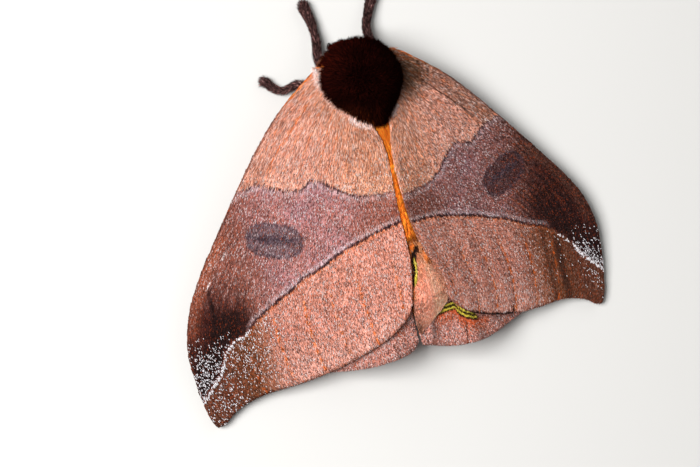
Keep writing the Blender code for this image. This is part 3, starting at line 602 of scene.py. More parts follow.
def flap_tint(x, y):
    """The fold's colour, orange in front and along its left side, where a piece of the ring shows."""
    across = x - x_on(FLAP_RING, y) + 0.08 * wave(x, y, 0.22)
    there = within(y, 26.7, 27.1, 31.9, 32.3)
    ground = paint(solid(FLAP_TAN, x), (FLAP_PINK, ramp(y - 0.9 * x, 26.0, 33.0)),
                   (TIP_BROWN, 0.2 * within(y, 23.0, 26.0, 31.0, 36.0) * fall(x, -3.6, -1.2)),
                   (HAIR_ORANGE, within(y, 25.0, 27.0, 33.0, 34.5) * fall(-across, -0.6, 0.1)))
    # Right of the fold's ridge the colour is lighter, as painted light.
    return paint(ground * (1.0 + 0.25 * ramp(-x, 0.0, 1.2))[..., None],
                 (RING_BLACK, fall(np.hypot(x + 0.25, y - 27.3), 0.3, 0.5)),
                 (RING_BLACK, there * near(across, 0.26, 0.36)),
                 (RING_YELLOW, there * near(across + 0.1, 0.09, 0.15) * ramp(y, 28.2, 28.6)))


def mottled(colours, amount=1.0):
    """The colours of single scales: some paler, some redder and some darker than the colours given."""
    n = len(colours)
    draw = rng.random(n)
    bright = ramp(colours.mean(-1), 30.0, 120.0)
    out = colours * np.exp(rng.normal(0.0, 0.10 * amount, (n, 1))) * MOTTLE_LEVEL
    start = 0.0
    for share, towards, distance, fades in MOTTLE:
        chosen = (draw >= start) & (draw < start + share)
        how_far = distance * amount * rng.uniform(0.5, 1.2, chosen.sum())
        if fades:
            how_far *= 0.15 + 0.85 * bright[chosen]
        out[chosen] = blend(out[chosen], towards, how_far)
        start += share
    return out


def new_mesh(name, verts, faces, loops_per_face):
    """A mesh from arrays of points in the row frame and of faces that all have as many corners."""
    mesh = bpy.data.meshes.new(name)
    mesh.vertices.add(len(verts))
    mesh.vertices.foreach_set("co", np.ascontiguousarray(verts, np.float32).ravel())
    mesh.loops.add(len(faces) * loops_per_face)
    mesh.loops.foreach_set("vertex_index", np.ascontiguousarray(faces, np.int32).ravel())
    mesh.polygons.add(len(faces))
    mesh.polygons.foreach_set("loop_start", np.arange(len(faces), dtype=np.int32) * loops_per_face)
    mesh.update(calc_edges=True)
    return mesh


def smooth_mesh(name, bm):
    """A mesh, shaded smooth, from a bmesh that isn't needed after."""
    mesh = bpy.data.meshes.new(name)
    bm.to_mesh(mesh)
    bm.free()
    mesh.shade_smooth()
    return mesh


def set_tint(mesh, colours):
    """Stores each point's colour, given out of 255, where the materials read it."""
    layer = mesh.color_attributes.new("tint", "FLOAT_COLOR", "POINT")
    rgba = np.ones((len(colours), 4), np.float32)
    rgba[:, :3] = linear(colours)
    layer.data.foreach_set("color", rgba.ravel())


def add_piece(name, mesh, material, slot, nodes=()):
    """A finished piece that rides on the body and stands for the solids named."""
    mesh.materials.append(material)
    piece = bpy.data.objects.new(name, mesh)
    bpy.context.scene.collection.objects.link(piece)
    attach(piece, ROOT)
    if nodes:
        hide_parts(*nodes)
    return piece


def node_material(name, roughness, specular=0.5):
    """A Principled material, with its node tree and its shader."""
    made = bpy.data.materials.new(name)
    made.use_nodes = True
    shader = made.node_tree.nodes["Principled BSDF"]
    shader.inputs["Roughness"].default_value = roughness
    shader.inputs["Specular IOR Level"].default_value = specular
    return made, made.node_tree, shader


def feed(tree, node, **values):
    """Puts numbers, or other nodes' outputs, on a node's inputs. An underscore stands for a space."""
    for name, value in values.items():
        socket = node.inputs[name.replace("_", " ")]
        if isinstance(value, bpy.types.NodeSocket):
            tree.links.new(value, socket)
        else:
            socket.default_value = value


def add_node(tree, kind, **values):
    """A new node with these values on its inputs."""
    node = tree.nodes.new("ShaderNode" + kind)
    feed(tree, node, **values)
    return node


def tinted_material(name, roughness, grain, contrast, bump, specular, shade):
    """A surface that takes its colour from the piece's own tint, broken up by fine noise, with a bump."""
    made, tree, shader = node_material(name, roughness, specular)
    tint = add_node(tree, "Attribute")
    tint.attribute_name = "tint"
    where = add_node(tree, "TexCoord").outputs["Object"]
    stretched = add_node(tree, "Mapping", Vector=where, Scale=(1.0, 0.3, 1.0)).outputs["Vector"]
    noise = add_node(tree, "TexNoise", Vector=stretched, Scale=grain / MM, Detail=3.0).outputs["Fac"]
    level = add_node(tree, "MapRange", Value=noise, From_Min=0.3, From_Max=0.7,
                     To_Min=shade * (1.0 - contrast), To_Max=shade * (1.0 + contrast))
    scaled = add_node(tree, "VectorMath")
    scaled.operation = "SCALE"
    feed(tree, scaled, Vector=tint.outputs["Color"], Scale=level.outputs["Result"])
    raised = add_node(tree, "Bump", Height=noise, Strength=bump, Distance=0.05 * MM)
    feed(tree, shader, Base_Color=scaled.outputs["Vector"], Normal=raised.outputs["Normal"])
    return made


def tufts(name, points, back, widths, colours, spread, material, slot, tip_shade=TIP_SHADE):
    """One mesh of closed, tapered tufts.

    points are the roots, any points between and the tips, back the way each tuft's back faces, widths n by
    one less than the points, colours n by 3 and spread n by 2, the root's place on the unwrap, from 0 to 1.
    """
    spines = np.stack(points, 1)
    count, stations, _ = spines.shape
    ahead = unit(np.gradient(spines, axis=1))
    aside = unit(np.cross(ahead, np.broadcast_to(back, (count, 3))[:, None]))
    line, half = spines[:, :-1], widths[:, :, None] / 2
    across, rise = aside[:, :-1] * half, np.cross(aside, ahead)[:, :-1] * half * TUFT_BACK
    rings = np.stack([line - across, line + across, line + rise], 2).reshape(count, -1, 3)
    verts = np.concatenate([rings, spines[:, -1:]], 1)
    edges = ((0, 1), (1, 2), (2, 0))
    last = 3 * (stations - 2)
    faces = [(0, 1, 2)]
    for j in range(0, last, 3):
        for a, b in edges:
            faces += [(j + b, j + a, j + 3 + a), (j + b, j + 3 + a, j + 3 + b)]
    faces = np.array(faces + [(last + b, last + a, last + 3) for a, b in edges])
    starts = np.arange(count) * verts.shape[1]
    mesh = new_mesh(name, place(verts.reshape(-1, 3)), (faces + starts[:, None, None]).reshape(-1, 3), 3)
    along = np.append(np.repeat(np.arange(stations - 1), 3), stations - 1) / (stations - 1)
    shade = ROOT_SHADE + (tip_shade - ROOT_SHADE) * along
    set_tint(mesh, (colours[:, None] * shade[None, :, None]).reshape(-1, 3))
    patch = np.column_stack([(0.0, 1.0, 0.5) * (stations - 1) + (0.5,), along]) * UV_PATCH
    uv = (spread[:, None] + patch)[:, faces.ravel()].reshape(-1, 2)
    mesh.uv_layers.new(name="OFBake").data.foreach_set("uv", np.ascontiguousarray(uv, np.float32).ravel())
    add_piece(name, mesh, material, slot)


def draw_widths(count, *ranges):
    """Random widths for tufts, with one range for each ring of corners."""
    return np.stack([rng.uniform(low, high, count) for low, high in ranges], 1)


def on_unwrap(a, b):
    """Places on the unwrap for two shares from 0 to 1."""
    return np.stack([0.02 + 0.94 * a, 0.02 + 0.94 * b], 1)


def round_unwrap(n):
    """Places on the unwrap of a round form, by direction."""
    return np.stack([(np.arctan2(n[:, 1], n[:, 0]) / math.tau + 0.5) * 0.94 + 0.02, n[:, 2] * 0.45 + 0.5], 1)


class Wing:
    """A wing's surface with everything that its skin and its scales need to know."""

    def __init__(self, kind, side, rows, columns):
        self.kind, self.side = kind, side
        self.u, self.v = np.linspace(0.0, 1.0, columns), np.linspace(0.0, 1.0, rows)
        if kind == "forewing":
            inner = FOREWING_INNER[side]
            edges = ([*FOREWING_BASE, inner[0]], FOREWING_COSTA, inner, FOREWING_OUTER, roof)
            self.veins, self.tint_of, stretch = FOREWING_VEINS, forewing_tint, None
        else:
            inner = HINDWING_INNER[side]
            edges = ([*HINDWING_BASE, inner[0]], HINDWING_COSTA, inner, [*HINDWING_OUTER, inner[-1]],
                     hindwing_height)
            self.veins, self.tint_of = HINDWING_VEINS, hindwing_tint

            def stretch(y):
                return y + HINDWING_REACH[side] * ramp(y, HINDWING_REACH_FROM, HINDWING_DEEPEST)

        self.points = wing_surface(*edges, self.u, self.v, stretch)
        self.points[..., 2] += PLEAT * self.pleats()
        if kind == "forewing" and side == "right":
            self.notch()
        self.normals = normals_of(self.points)
        self.width = np.linalg.norm(self.points[0] - self.points[-1], axis=-1)
        self.length = np.linalg.norm(np.diff(self.points, axis=1), axis=-1).sum(1)
        self.outward = unit(np.gradient(self.points, axis=1))

    def pleats(self):
        """How far the membrane stands up between its veins, from 0 to 1, on the outer half of the wing."""
        u, v = self.grid_uv()
        crests = [root + (tip - root) * self.v for root, tip in self.veins]
        lines = [np.zeros(len(self.v)), *crests, np.ones(len(self.v))]
        found = np.zeros(u.shape)
        for low, high in zip(lines, lines[1:]):
            share = np.clip((u - low) / (high - low), 0.0, 1.0)
            found = np.maximum(found, np.sin(share * math.pi) ** 2)
        return found * ramp(v, 0.35, 0.75) * (ramp(u, 0.0, 0.06) * fall(u, 0.9, 1.0))

    def notch(self):
        """Cuts the small nick into the wing's margin."""
        at, half, depth = NICK
        into = np.clip(1.0 - np.abs(self.points[..., 0] - at) / half, 0.0, 1.0)
        self.points[..., 1] -= depth * into * ramp(self.v, 0.94, 1.0)[None]

    def grid_uv(self):
        return np.meshgrid(self.u, self.v, indexing="ij")

    def wide_at(self, v):
        return np.interp(v, self.v, self.width)

    def half_thickness(self, u, v):
        """Half the membrane's thickness: more along the veins, little at the edges."""
        wide, long = self.wide_at(v), np.interp(u, self.u, self.length)
        inside = np.minimum(np.minimum(u, 1.0 - u) * wide, (1.0 - v) * long)
        body = SKIN_THICKNESS / 2 + VEIN_RIDGE * near_vein(self.veins, u, v, wide)
        return body * (RIM_SHARE + (1.0 - RIM_SHARE) * ramp(inside, 0.0, 0.7))

    def colours(self, x, y, u, v):
        return self.tint_of(self.side, x, y, u, v, self.wide_at(v))

    def scatter(self, count, weight):
        """Random places on the wing, spread by area and weight: u, v, point, normal and outward direction."""
        p = self.points
        area = np.linalg.norm(np.cross(p[1:, :-1] - p[:-1, :-1], p[:-1, 1:] - p[:-1, :-1]), axis=-1)
        if weight is not None:
            area = area * weight(p[:-1, :-1, 0], p[:-1, :-1, 1])
        chosen = rng.choice(area.size, size=count, p=(area / area.sum()).ravel())
        i, j = np.unravel_index(chosen, area.shape)
        a, b = rng.random((count, 1)), rng.random((count, 1))

        def at(grid):
            return ((1 - a) * (1 - b) * grid[i, j] + a * (1 - b) * grid[i + 1, j]
                    + (1 - a) * b * grid[i, j + 1] + a * b * grid[i + 1, j + 1])

        u, v = (i + a[:, 0]) / (len(self.u) - 1), (j + b[:, 0]) / (len(self.v) - 1)
        return u, v, at(self.points), unit(at(self.normals)), unit(at(self.outward))


def sheet_mesh(name, grid, turned=False):
    """A sheet of quads over a grid of points, turned over if asked."""
    index = np.arange(grid.shape[0] * grid.shape[1]).reshape(grid.shape[:2])
    quads = np.stack([index[:-1, :-1], index[1:, :-1], index[1:, 1:], index[:-1, 1:]], -1).reshape(-1, 4)
    return new_mesh(name, place(grid.reshape(-1, 3)), quads[:, ::-1] if turned else quads, 4)


def make_wing_skin(wing, material, under_material):
    """The wing's membrane, a little thicker along its veins."""
    u, v = wing.grid_uv()
    name = f"{wing.kind}_skin_{wing.side}"
    mesh = sheet_mesh(name, on_side(wing.side, wing.points), turned=wing.side == "left")
    set_tint(mesh, wing.colours(wing.points[..., 0], wing.points[..., 1], u, v).reshape(-1, 3))
    mesh.shade_smooth()
    piece = add_piece(name, mesh, material, wing.kind, [f"{wing.kind}_{wing.side}"])
    mesh.materials.append(under_material)
    thickest = SKIN_THICKNESS + 2 * VEIN_RIDGE
    share = np.round(wing.half_thickness(u, v).ravel() * 2 / thickest, 2)
    group = piece.vertex_groups.new(name="veins")
    for level in np.unique(share):
        group.add(np.flatnonzero(share == level).tolist(), float(level), "REPLACE")
    sheet = piece.modifiers.new("membrane", "SOLIDIFY")
    sheet.thickness = thickest * MM
    sheet.offset = 0.0
    sheet.vertex_group = group.name
    sheet.material_offset = 1
    sheet.material_offset_rim = 0


def scale_coat(wing, kind, material, face=1.0, weight=None, bent=False, shade=1.0, colour=None, turn=0.16,
               mottle=1.0):
    """Hair-like scales, from a wing's root towards its margin, on its upper face or, for -1, its lower one."""
    on_left, on_right, length, width, lift = SCALES[kind]
    count = on_left if wing.side == "left" else on_right
    u, v, root, normal, outward = wing.scatter(count, weight)
    rest = (1.0 - v) * np.interp(u, wing.u, wing.length)
    long = np.minimum(length * rng.uniform(0.6, 1.35, count), rest + MARGIN_OVERHANG)
    keep = (long > 0.4 * length) & (thorax_depth(on_side(wing.side, root)) > 0.86)
    u, v, root, normal, outward, long = (a[keep] for a in (u, v, root, normal, outward, long))
    calm = 0.2 + 0.8 * ramp(np.minimum(u, 1.0 - u) * wing.wide_at(v), 0.05, 0.6)
    swing = rng.normal(0.0, turn, len(u)) * calm
    heading = unit(outward + np.cross(normal, outward) * swing[:, None]) * long[:, None]
    wide = width * rng.uniform(0.7, 1.3, len(u))
    up = normal * face
    rise = up * lift * rng.uniform(0.5, 1.5, (len(u), 1))
    start = root + up * (wing.half_thickness(u, v) - 0.02)[:, None]
    points = [start, start + heading * 0.5 + rise * 0.75, start + heading + rise]
    widths = np.outer(wide, (1.0, 0.75) if bent else (1.0,))
    x, y = root[:, 0], root[:, 1]
    tint = wing.colours(x, y, u, v) if colour is None else solid(colour, x)
    points = [on_side(wing.side, p) for p in (points if bent else points[::2])]
    tufts(f"{kind}_{wing.side}", points, on_side(wing.side, up), widths, mottled(tint, mottle) * shade,
          on_unwrap(u, v), material, wing.kind)


def thorax_point(n, inset=0.0):
    """The thorax's surface in the directions n, as in the solids."""
    x = n[..., 0] * (THORAX_RADII[0] - inset)
    y = n[..., 1] * (THORAX_RADII[1] - inset)
    z = n[..., 2] * (np.where(n[..., 2] > 0, THORAX_RADII[2], THORAX_DOWN) - inset)
    x = np.where(n[..., 1] > 0, x * (1.0 - THORAX_REAR_TAPER * n[..., 1] ** 2), x)
    y = np.where(n[..., 1] > 0, y, y * (1.0 - THORAX_CHIN * ramp(-n[..., 2], -0.2, 0.6)))
    return np.stack([x, y, z], -1) + THORAX_CENTRE


def thorax_depth(points):
    """Below 1 inside the thorax's rough ellipsoid and above 1 outside it."""
    return np.linalg.norm((points - THORAX_CENTRE) / THORAX_RADII, axis=-1)


def directions(count, lowest=-1.0):
    """Random directions, spread evenly over the ball above the lowest height."""
    z = rng.uniform(lowest, 1.0, count)
    turn = rng.uniform(0.0, 2 * math.pi, count)
    level = np.sqrt(1.0 - z * z)
    return np.stack([np.cos(turn) * level, np.sin(turn) * level, z], -1)


def make_thorax_coat(name, material):
    """Dense velvet: upright on the crown, leaning out all round, with a ragged rim over the wings."""
    count = TUFTS["thorax"]
    n = directions(count, -0.5)
    across, along, above = n.T
    lean = flat(np.stack([0.95 * across, 0.75 * along + 0.12, -0.35 * (1.0 - above)], -1), n)
    lean *= ramp(np.linalg.norm(lean, axis=1), 0.3, 0.8)[:, None]
    lean += flat(rng.normal(0.0, 0.42, (count, 3)), n)
    lean *= (0.45 + 0.55 * ramp(1.0 - above, 0.15, 0.7))[:, None]
    surface = thorax_point(n)
    rise = rng.uniform(0.2, 0.6, count) + 0.35 * fall(above, 0.2, 0.8)
    tip = surface + n * rise[:, None] + lean * rng.uniform(0.7, 1.3, (count, 1))
    height = THORAX_FUR * rng.uniform(0.94, 1.0, count) / np.maximum(thorax_depth(tip), THORAX_FUR)
    tip = THORAX_CENTRE + (tip - THORAX_CENTRE) * np.minimum(height, 1.0)[:, None]
    shoulder = ramp(n @ SHOULDER, 0.58, 0.93) * rng.uniform(0.5, 1.0, count)
    behind = ramp(along, 0.55, 0.9) * ramp(above, -0.35, 0.1) * rng.uniform(0.3, 1.0, count)
    tip += np.outer(shoulder, (0.95, -0.18, 0.0)) + np.outer(behind, (0.0, 1.15, 0.1))
    root = surface - n * COAT_DEPTH
    middle = (root + tip) / 2 + n * (0.22 * np.linalg.norm(lean, axis=1))[:, None]
    widths = draw_widths(count, (0.11, 0.17), (0.09, 0.13))
    # More red tips on the front-left rim, towards the key light, are a painted highlight.
    rim = ramp(0.6 * across - along, 0.2, 1.0) * ramp(0.8 - above, 0.0, 0.5)
    patches = 0.5 + 0.5 * wave(across + 0.3 * above, along, 0.22)
    redder = (0.15 + 0.4 * patches + 0.32 * rim) * rng.random(count) ** 2
    rusty = ramp(along + 0.4 * across, 0.6, 1.0) * rng.random(count) ** 4
    colours = paint(solid(FUR_DARK, rim), (FUR_TIP, redder), (HAIR_ORANGE, 0.3 * rusty))
    tufts(name, (root, middle, tip), n, widths, colours, round_unwrap(n), material, "thorax", 1.25)


def make_collar(side, material):
    """Pale scales along the root of a forewing, where it leaves the thorax."""
    count, low, high = (1700, 0.03, 0.97) if side == "left" else (350, 0.72, 0.9)
    shares = rng.uniform(low, high, count)
    thin = within(shares, 0.28, 0.34, 0.64, 0.68) > 0.0
    shares = shares[~thin | (rng.random(count) < 0.3)]
    count = len(shares)
    line = curve([*FOREWING_BASE, FOREWING_INNER[side][0]], shares)
    out = unit(line - THORAX_CENTRE[:2])
    arc = within(shares, 0.68, 0.74, 0.92, 0.97)
    patch = fall(shares, 0.12, 0.3)
    off = rng.uniform(-0.55, 0.0, count) + (0.1 + 0.75 * patch + 0.3 * arc) * rng.random(count)
    spot = line + out * off[:, None] + np.outer(fall(shares, 0.05, 0.15), (0.1, -0.3))
    root = np.column_stack([spot, roof(*spot.T) + 0.1])
    aim = unit(out + np.outer(fall(shares, 0.1, 0.25), (0.0, 1.0)) + rng.normal(0.0, 0.25, (count, 2)))
    heading = unit(np.column_stack([aim, rng.uniform(0.0, 0.35, count)])) * rng.uniform(0.3, 0.75, (count, 1))
    points = (root, root + heading * 0.5 + 0.1 * UP, root + heading)
    widths = draw_widths(count, (0.06, 0.1), (0.05, 0.08))
    white = (0.25 + 0.75 * np.maximum(arc, patch)) * rng.random(count) ** 0.6
    colours = mottled(blend(solid(PINK_TAN, white), BASE_WHITE, white), 0.6)
    spread = np.stack([0.03 + 0.9 * shares, 0.4 + 0.2 * rng.random(count)], 1)
    tufts(f"forewing_collar_{side}", [on_side(side, p) for p in points], UP, widths, colours, spread,
          material, "forewing")


def radii_of(leg):
    return LEG_RADII[leg.split("leg")[0]]


def limb_axes(path, shares):
    """Points on a limb's middle line, the way it heads there and the way to its side."""
    ahead = unit(curve(path, np.clip(shares + 0.01, 0, 1)) - curve(path, np.clip(shares - 0.01, 0, 1)))
    return curve(path, shares), ahead, unit(np.cross(ahead, UP))


def tube_points(path, radii, shares, turns, inset=0.0):
    """Points, outward directions and headings on a limb along a path, at these shares and turns round it."""
    middle, ahead, aside = limb_axes(path, shares)
    out = aside * np.cos(turns)[:, None] + np.cross(aside, ahead) * np.sin(turns)[:, None]
    return middle + out * (between(radii, shares) - inset)[:, None], out, ahead


def limb_mesh(path, radii, inset, sides=14, stations=40):
    """A closed limb of quads and end caps, as a bmesh in the row frame."""
    bm = bmesh.new()
    rings = []
    for share in np.linspace(0.0, 1.0, stations):
        turns = np.linspace(0.0, math.tau, sides, endpoint=False)
        points, _, _ = tube_points(path, radii, np.full(sides, share), turns, inset)
        points[:, 2] = np.maximum(points[:, 2], 0.04)
        rings.append([bm.verts.new(p) for p in place(points)])
    for a, b in zip(rings, rings[1:]):
        for s in range(sides):
            bm.faces.new((a[s], a[(s + 1) % sides], b[(s + 1) % sides], b[s]))
    bm.faces.new(rings[0][::-1])
    bm.faces.new(rings[-1])
    bmesh.ops.recalc_face_normals(bm, faces=bm.faces)
    return bm


def round_mesh(shape, segments=48, rings=32):
    """A ball reshaped by a function of direction, as a bmesh in the row frame."""
    bm = bmesh.new()
    bmesh.ops.create_uvsphere(bm, u_segments=segments, v_segments=rings, radius=1.0)
    n = np.array([vert.co for vert in bm.verts])
    for vert, point in zip(bm.verts, place(shape(unit(n)))):
        vert.co = point
    return bm


def ellipsoid(centre, radii):
    return lambda n: np.asarray(centre) + n * np.asarray(radii)


def abdomen_point(n, inset=0.0):
    """The abdomen's surface, with n's y running along it."""
    y0, y1 = ABDOMEN[0][0], ABDOMEN[-1][0]
    share = np.arccos(np.clip(-n[..., 1], -1, 1)) / math.pi
    y = y0 + (y1 - y0) * share
    stations = np.array(ABDOMEN)
    turn = np.arctan2(n[..., 2], n[..., 0])
    close = np.sqrt(np.clip(1.0 - (2 * share - 1.0) ** 8, 0.0, 1.0))
    wide = (np.interp(y, stations[:, 0], stations[:, 1]) - inset) * close
    high = (np.interp(y, stations[:, 0], stations[:, 2]) - inset) * close
    middle = np.interp(y, stations[:, 0], stations[:, 3])
    ring = 0.10 * np.sin(share * 8 * math.tau)
    z = middle + np.sin(turn) * (high + ring)
    return np.stack([np.cos(turn) * (wide + ring), y, np.maximum(z, 0.05)], -1)


def body_tint(points):
    """The body's colour: dark in front, orange above and tan below on the abdomen, brown on the legs."""
    x, y, z = points.T
    rear = blend(solid(BELLY_TAN, x), HAIR_ORANGE, ramp(z, 1.5, 5.0))
    beside = np.abs(x) - np.where(y < 0.5, 2.6, 4.4)
    leg = ramp(np.maximum(-y - 2.8, beside), 0.0, 0.5)
    return paint(solid(FUR_DARK, x), (rear, ramp(y, 9.0, 10.5) * near(x, 4.3, 4.8)), (LEG_FUR, leg))


def make_body_skin(material):
    """One closed skin for the thorax, head, palps, abdomen and legs, a coat's depth inside the solids."""
    parts = [round_mesh(lambda n: thorax_point(n, COAT_DEPTH)),
             round_mesh(ellipsoid(HEAD_CENTRE, HEAD_RADII)),
             round_mesh(lambda n: abdomen_point(n, 0.25), 48, 96)]
    for side in SIGN:
        palp = on_side(side, [PALP_ROOT, PALP_TIP])
        parts.append(limb_mesh(palp, (PALP_RADIUS, PALP_RADIUS * 0.8), 0.08, stations=6))
    for name, path in LEGS.items():
        parts.append(limb_mesh(path, radii_of(name), 0.14))
        toe = radii_of(name)[-1] - 0.14
        parts.append(round_mesh(ellipsoid((*path[-1][:2], 0.04 + toe), (toe, toe, toe)), 16, 12))
    whole = bmesh.new()
    for part in parts:
        mesh = smooth_mesh("part", part)
        whole.from_mesh(mesh)
        bpy.data.meshes.remove(mesh)
    blank = bpy.data.objects.new("blank", smooth_mesh("body_skin", whole))
    bpy.context.scene.collection.objects.link(blank)
    remesh = blank.modifiers.new("skin", "REMESH")
    remesh.mode = "VOXEL"
    remesh.voxel_size = 0.16 * MM
    blank.modifiers.new("smooth", "SMOOTH").iterations = 4
    graph = bpy.context.evaluated_depsgraph_get()
    skin = bpy.data.meshes.new_from_object(blank.evaluated_get(graph))
    bpy.data.objects.remove(blank)
    points = np.empty(len(skin.vertices) * 3)
    skin.vertices.foreach_get("co", points)
    set_tint(skin, body_tint(points.reshape(-1, 3) / MM + (0.0, ORIGIN_Y, 0.0)))
    skin.shade_smooth()
    add_piece("body_skin", skin, material, "thorax", ["head", "thorax", "abdomen", *LEGS])


def make_head_coat(material):
    """Short fur over the face and crown, clear of the eyes."""
    n = directions(TUFTS["head"], -0.95)
    for side in SIGN:
        away = np.linalg.norm(HEAD_CENTRE + n * HEAD_RADII - on_side(side, EYE_CENTRE), axis=1)
        n = n[away > EYE_RADIUS * 1.02]
    count = len(n)
    flow = flat(n * (0.5, 0.0, 0.0) + (0.0, -0.35, -0.8), n)
    flow = unit(flow + rng.normal(0, 0.2, (count, 3))) * rng.uniform(0.6, 1.1, (count, 1))
    root = HEAD_CENTRE + n * HEAD_RADII - n * 0.1
    widths = draw_widths(count, (0.08, 0.13), (0.064, 0.104))
    colours = blend(solid(FUR_DARK, n[:, 0]), FUR_TIP, rng.random(count))
    tufts("head_coat", (root, root + flow * 0.5 + n * 0.28, root + flow + n * 0.38), n, widths, colours,
          round_unwrap(n), material, "head", 1.5)


def make_limb_coat(name, path, radii, count, length, material, slot, colour):
    """Short flat fur along a limb and round its end."""
    shares, turns = rng.random(count), rng.uniform(0.0, math.tau, count)
    root, out, ahead = tube_points(path, radii, shares, turns, 0.16)
    toes = rng.random(count) < 0.12
    shares[toes] = 1.0
    out[toes] = unit(rng.normal(0.0, 1.0, (toes.sum(), 3)) + ahead[toes] * 0.9 + 0.5 * UP)
    root[toes] = path[-1] + out[toes] * (radii[-1] - 0.16)
    keep = root[:, 2] > 0.12
    root, out, ahead, shares, turns = (a[keep] for a in (root, out, ahead, shares, turns))
    count = len(root)
    tip = root + ahead * length * rng.uniform(0.7, 1.3, (count, 1)) + out * rng.uniform(0.2, 0.34, (count, 1))
    tip[:, 2] = np.maximum(tip[:, 2], 0.05)
    widths = draw_widths(count, (0.07, 0.12))
    colours = colour * np.exp(rng.normal(-0.22, 0.5, (count, 1)))
    tufts(name, (root, tip), out, widths, colours, on_unwrap(shares, turns / math.tau), material, slot)


def make_abdomen_coat(material):
    """Fur all over the abdomen, orange above and tan below, kept off the floor."""
    n = directions(TUFTS["abdomen"])[:, [0, 2, 1]]
    root = abdomen_point(n, 0.3)
    keep = (root[:, 2] > 0.35) & (root[:, 1] > 8.5)
    root, n = root[keep], n[keep]
    count = len(root)
    out = unit((root - 3.4 * UP) * (1.0, 0.0, 1.0))
    long = rng.uniform(0.8, 1.5, (count, 1))
    reach = (rng.normal(0, 0.12, (count, 3)) + (0.0, 1.0, 0.0)) * long
    points = [root, root + reach * 0.5 + out * 0.26, root + reach + out * 0.32]
    points = [np.maximum(p, (-np.inf, -np.inf, 0.06)) for p in points]
    widths = draw_widths(count, (0.10, 0.15), (0.08, 0.12))
    colours = body_tint(root * (0.95, 1.0, 1.0)) * np.exp(rng.normal(0, 0.2, (count, 1)))
    tufts("abdomen_coat", points, out, widths, colours, n[:, :2] * 0.45 + 0.5, material, "abdomen")


def make_eye(side, material):
    dome = round_mesh(ellipsoid(on_side(side, EYE_CENTRE), (EYE_RADIUS,) * 3), 64, 48)
    name = f"eye_dome_{side}"
    add_piece(name, smooth_mesh(name, dome), material, "eye", [f"eye_{side}"])


def make_antenna(side, material):
    """A feeler: its shaft, and four rows of fine teeth."""
    path = on_side(side, ANTENNA_PATH)
    count = 38
    row = np.tile(np.arange(4), count)
    shares = np.repeat(np.linspace(0.08, 0.97, count), 4) + np.where(row > 1, 0.5 * 0.89 / count, 0.0)
    middle, ahead, aside = limb_axes(path, shares)
    aside *= np.where(row % 2, -1.0, 1.0)[:, None]
    reach = 1.15 * np.sin(np.clip(shares * 1.15, 0, 1) * math.pi) ** 0.6 * (1 - 0.35 * shares) + 0.12
    heading = unit(aside + ahead * 0.6 - np.outer(row > 1, 0.25 * UP)) * reach[:, None]
    start = middle + aside * 0.1
    points = (start, start + heading * 0.55, start + heading + ahead * reach[:, None] * 0.25)
    back = np.cross(heading, ahead) * UP + 1e-3 * UP
    widths = np.tile((0.12, 0.09), (len(shares), 1))
    colours = HORN * rng.uniform(0.8, 1.2, (len(shares), 1))
    spread = np.stack([0.05 + 0.85 * shares, 0.2 + 0.2 * row], 1)
    tufts(f"antenna_teeth_{side}", points, back, widths, colours, spread, material, "antenna")
    name = f"antenna_shaft_{side}"
    mesh = smooth_mesh(name, limb_mesh(path, (0.3, 0.28, 0.14), 0.0, 12, 60))
    set_tint(mesh, np.full((len(mesh.vertices), 3), HORN, float))
    add_piece(name, mesh, material, "antenna", [f"antenna_{side}"])


def make_claws(material):
    """Two small hooked claws at the end of each foot."""
    claws = []
    for name, path in LEGS.items():
        foot = path[-1] * (1.0 - UP)
        ahead = unit(foot - path[-2] * (1.0 - UP))
        radius = radii_of(name)[-1]
        for way in (-1.0, 1.0):
            aside = way * np.cross(UP, ahead)
            root = foot + aside * 0.16 + ahead * radius * 0.3
            out = unit(ahead + aside * 0.3)
            claws.append([root + 0.3 * UP, root + out * radius * 0.6 + 0.38 * UP,
                          root + out * (radius * 0.7 + 0.28) + 0.06 * UP])
    count = len(claws)
    spread = np.stack([np.linspace(0.1, 0.9, count), np.full(count, 0.5)], 1)
    tufts("claws", np.array(claws).transpose(1, 0, 2), UP, np.tile((0.22, 0.16), (count, 1)),
          np.full((count, 3), CLAW_BROWN, float), spread, material, "leg")


def gap_edges(y):
    """The x of the two forewings' inner edges at y: the left one's and the right one's."""
    return x_on(FOREWING_INNER["left"], y), -x_on(FOREWING_INNER["right"], y)


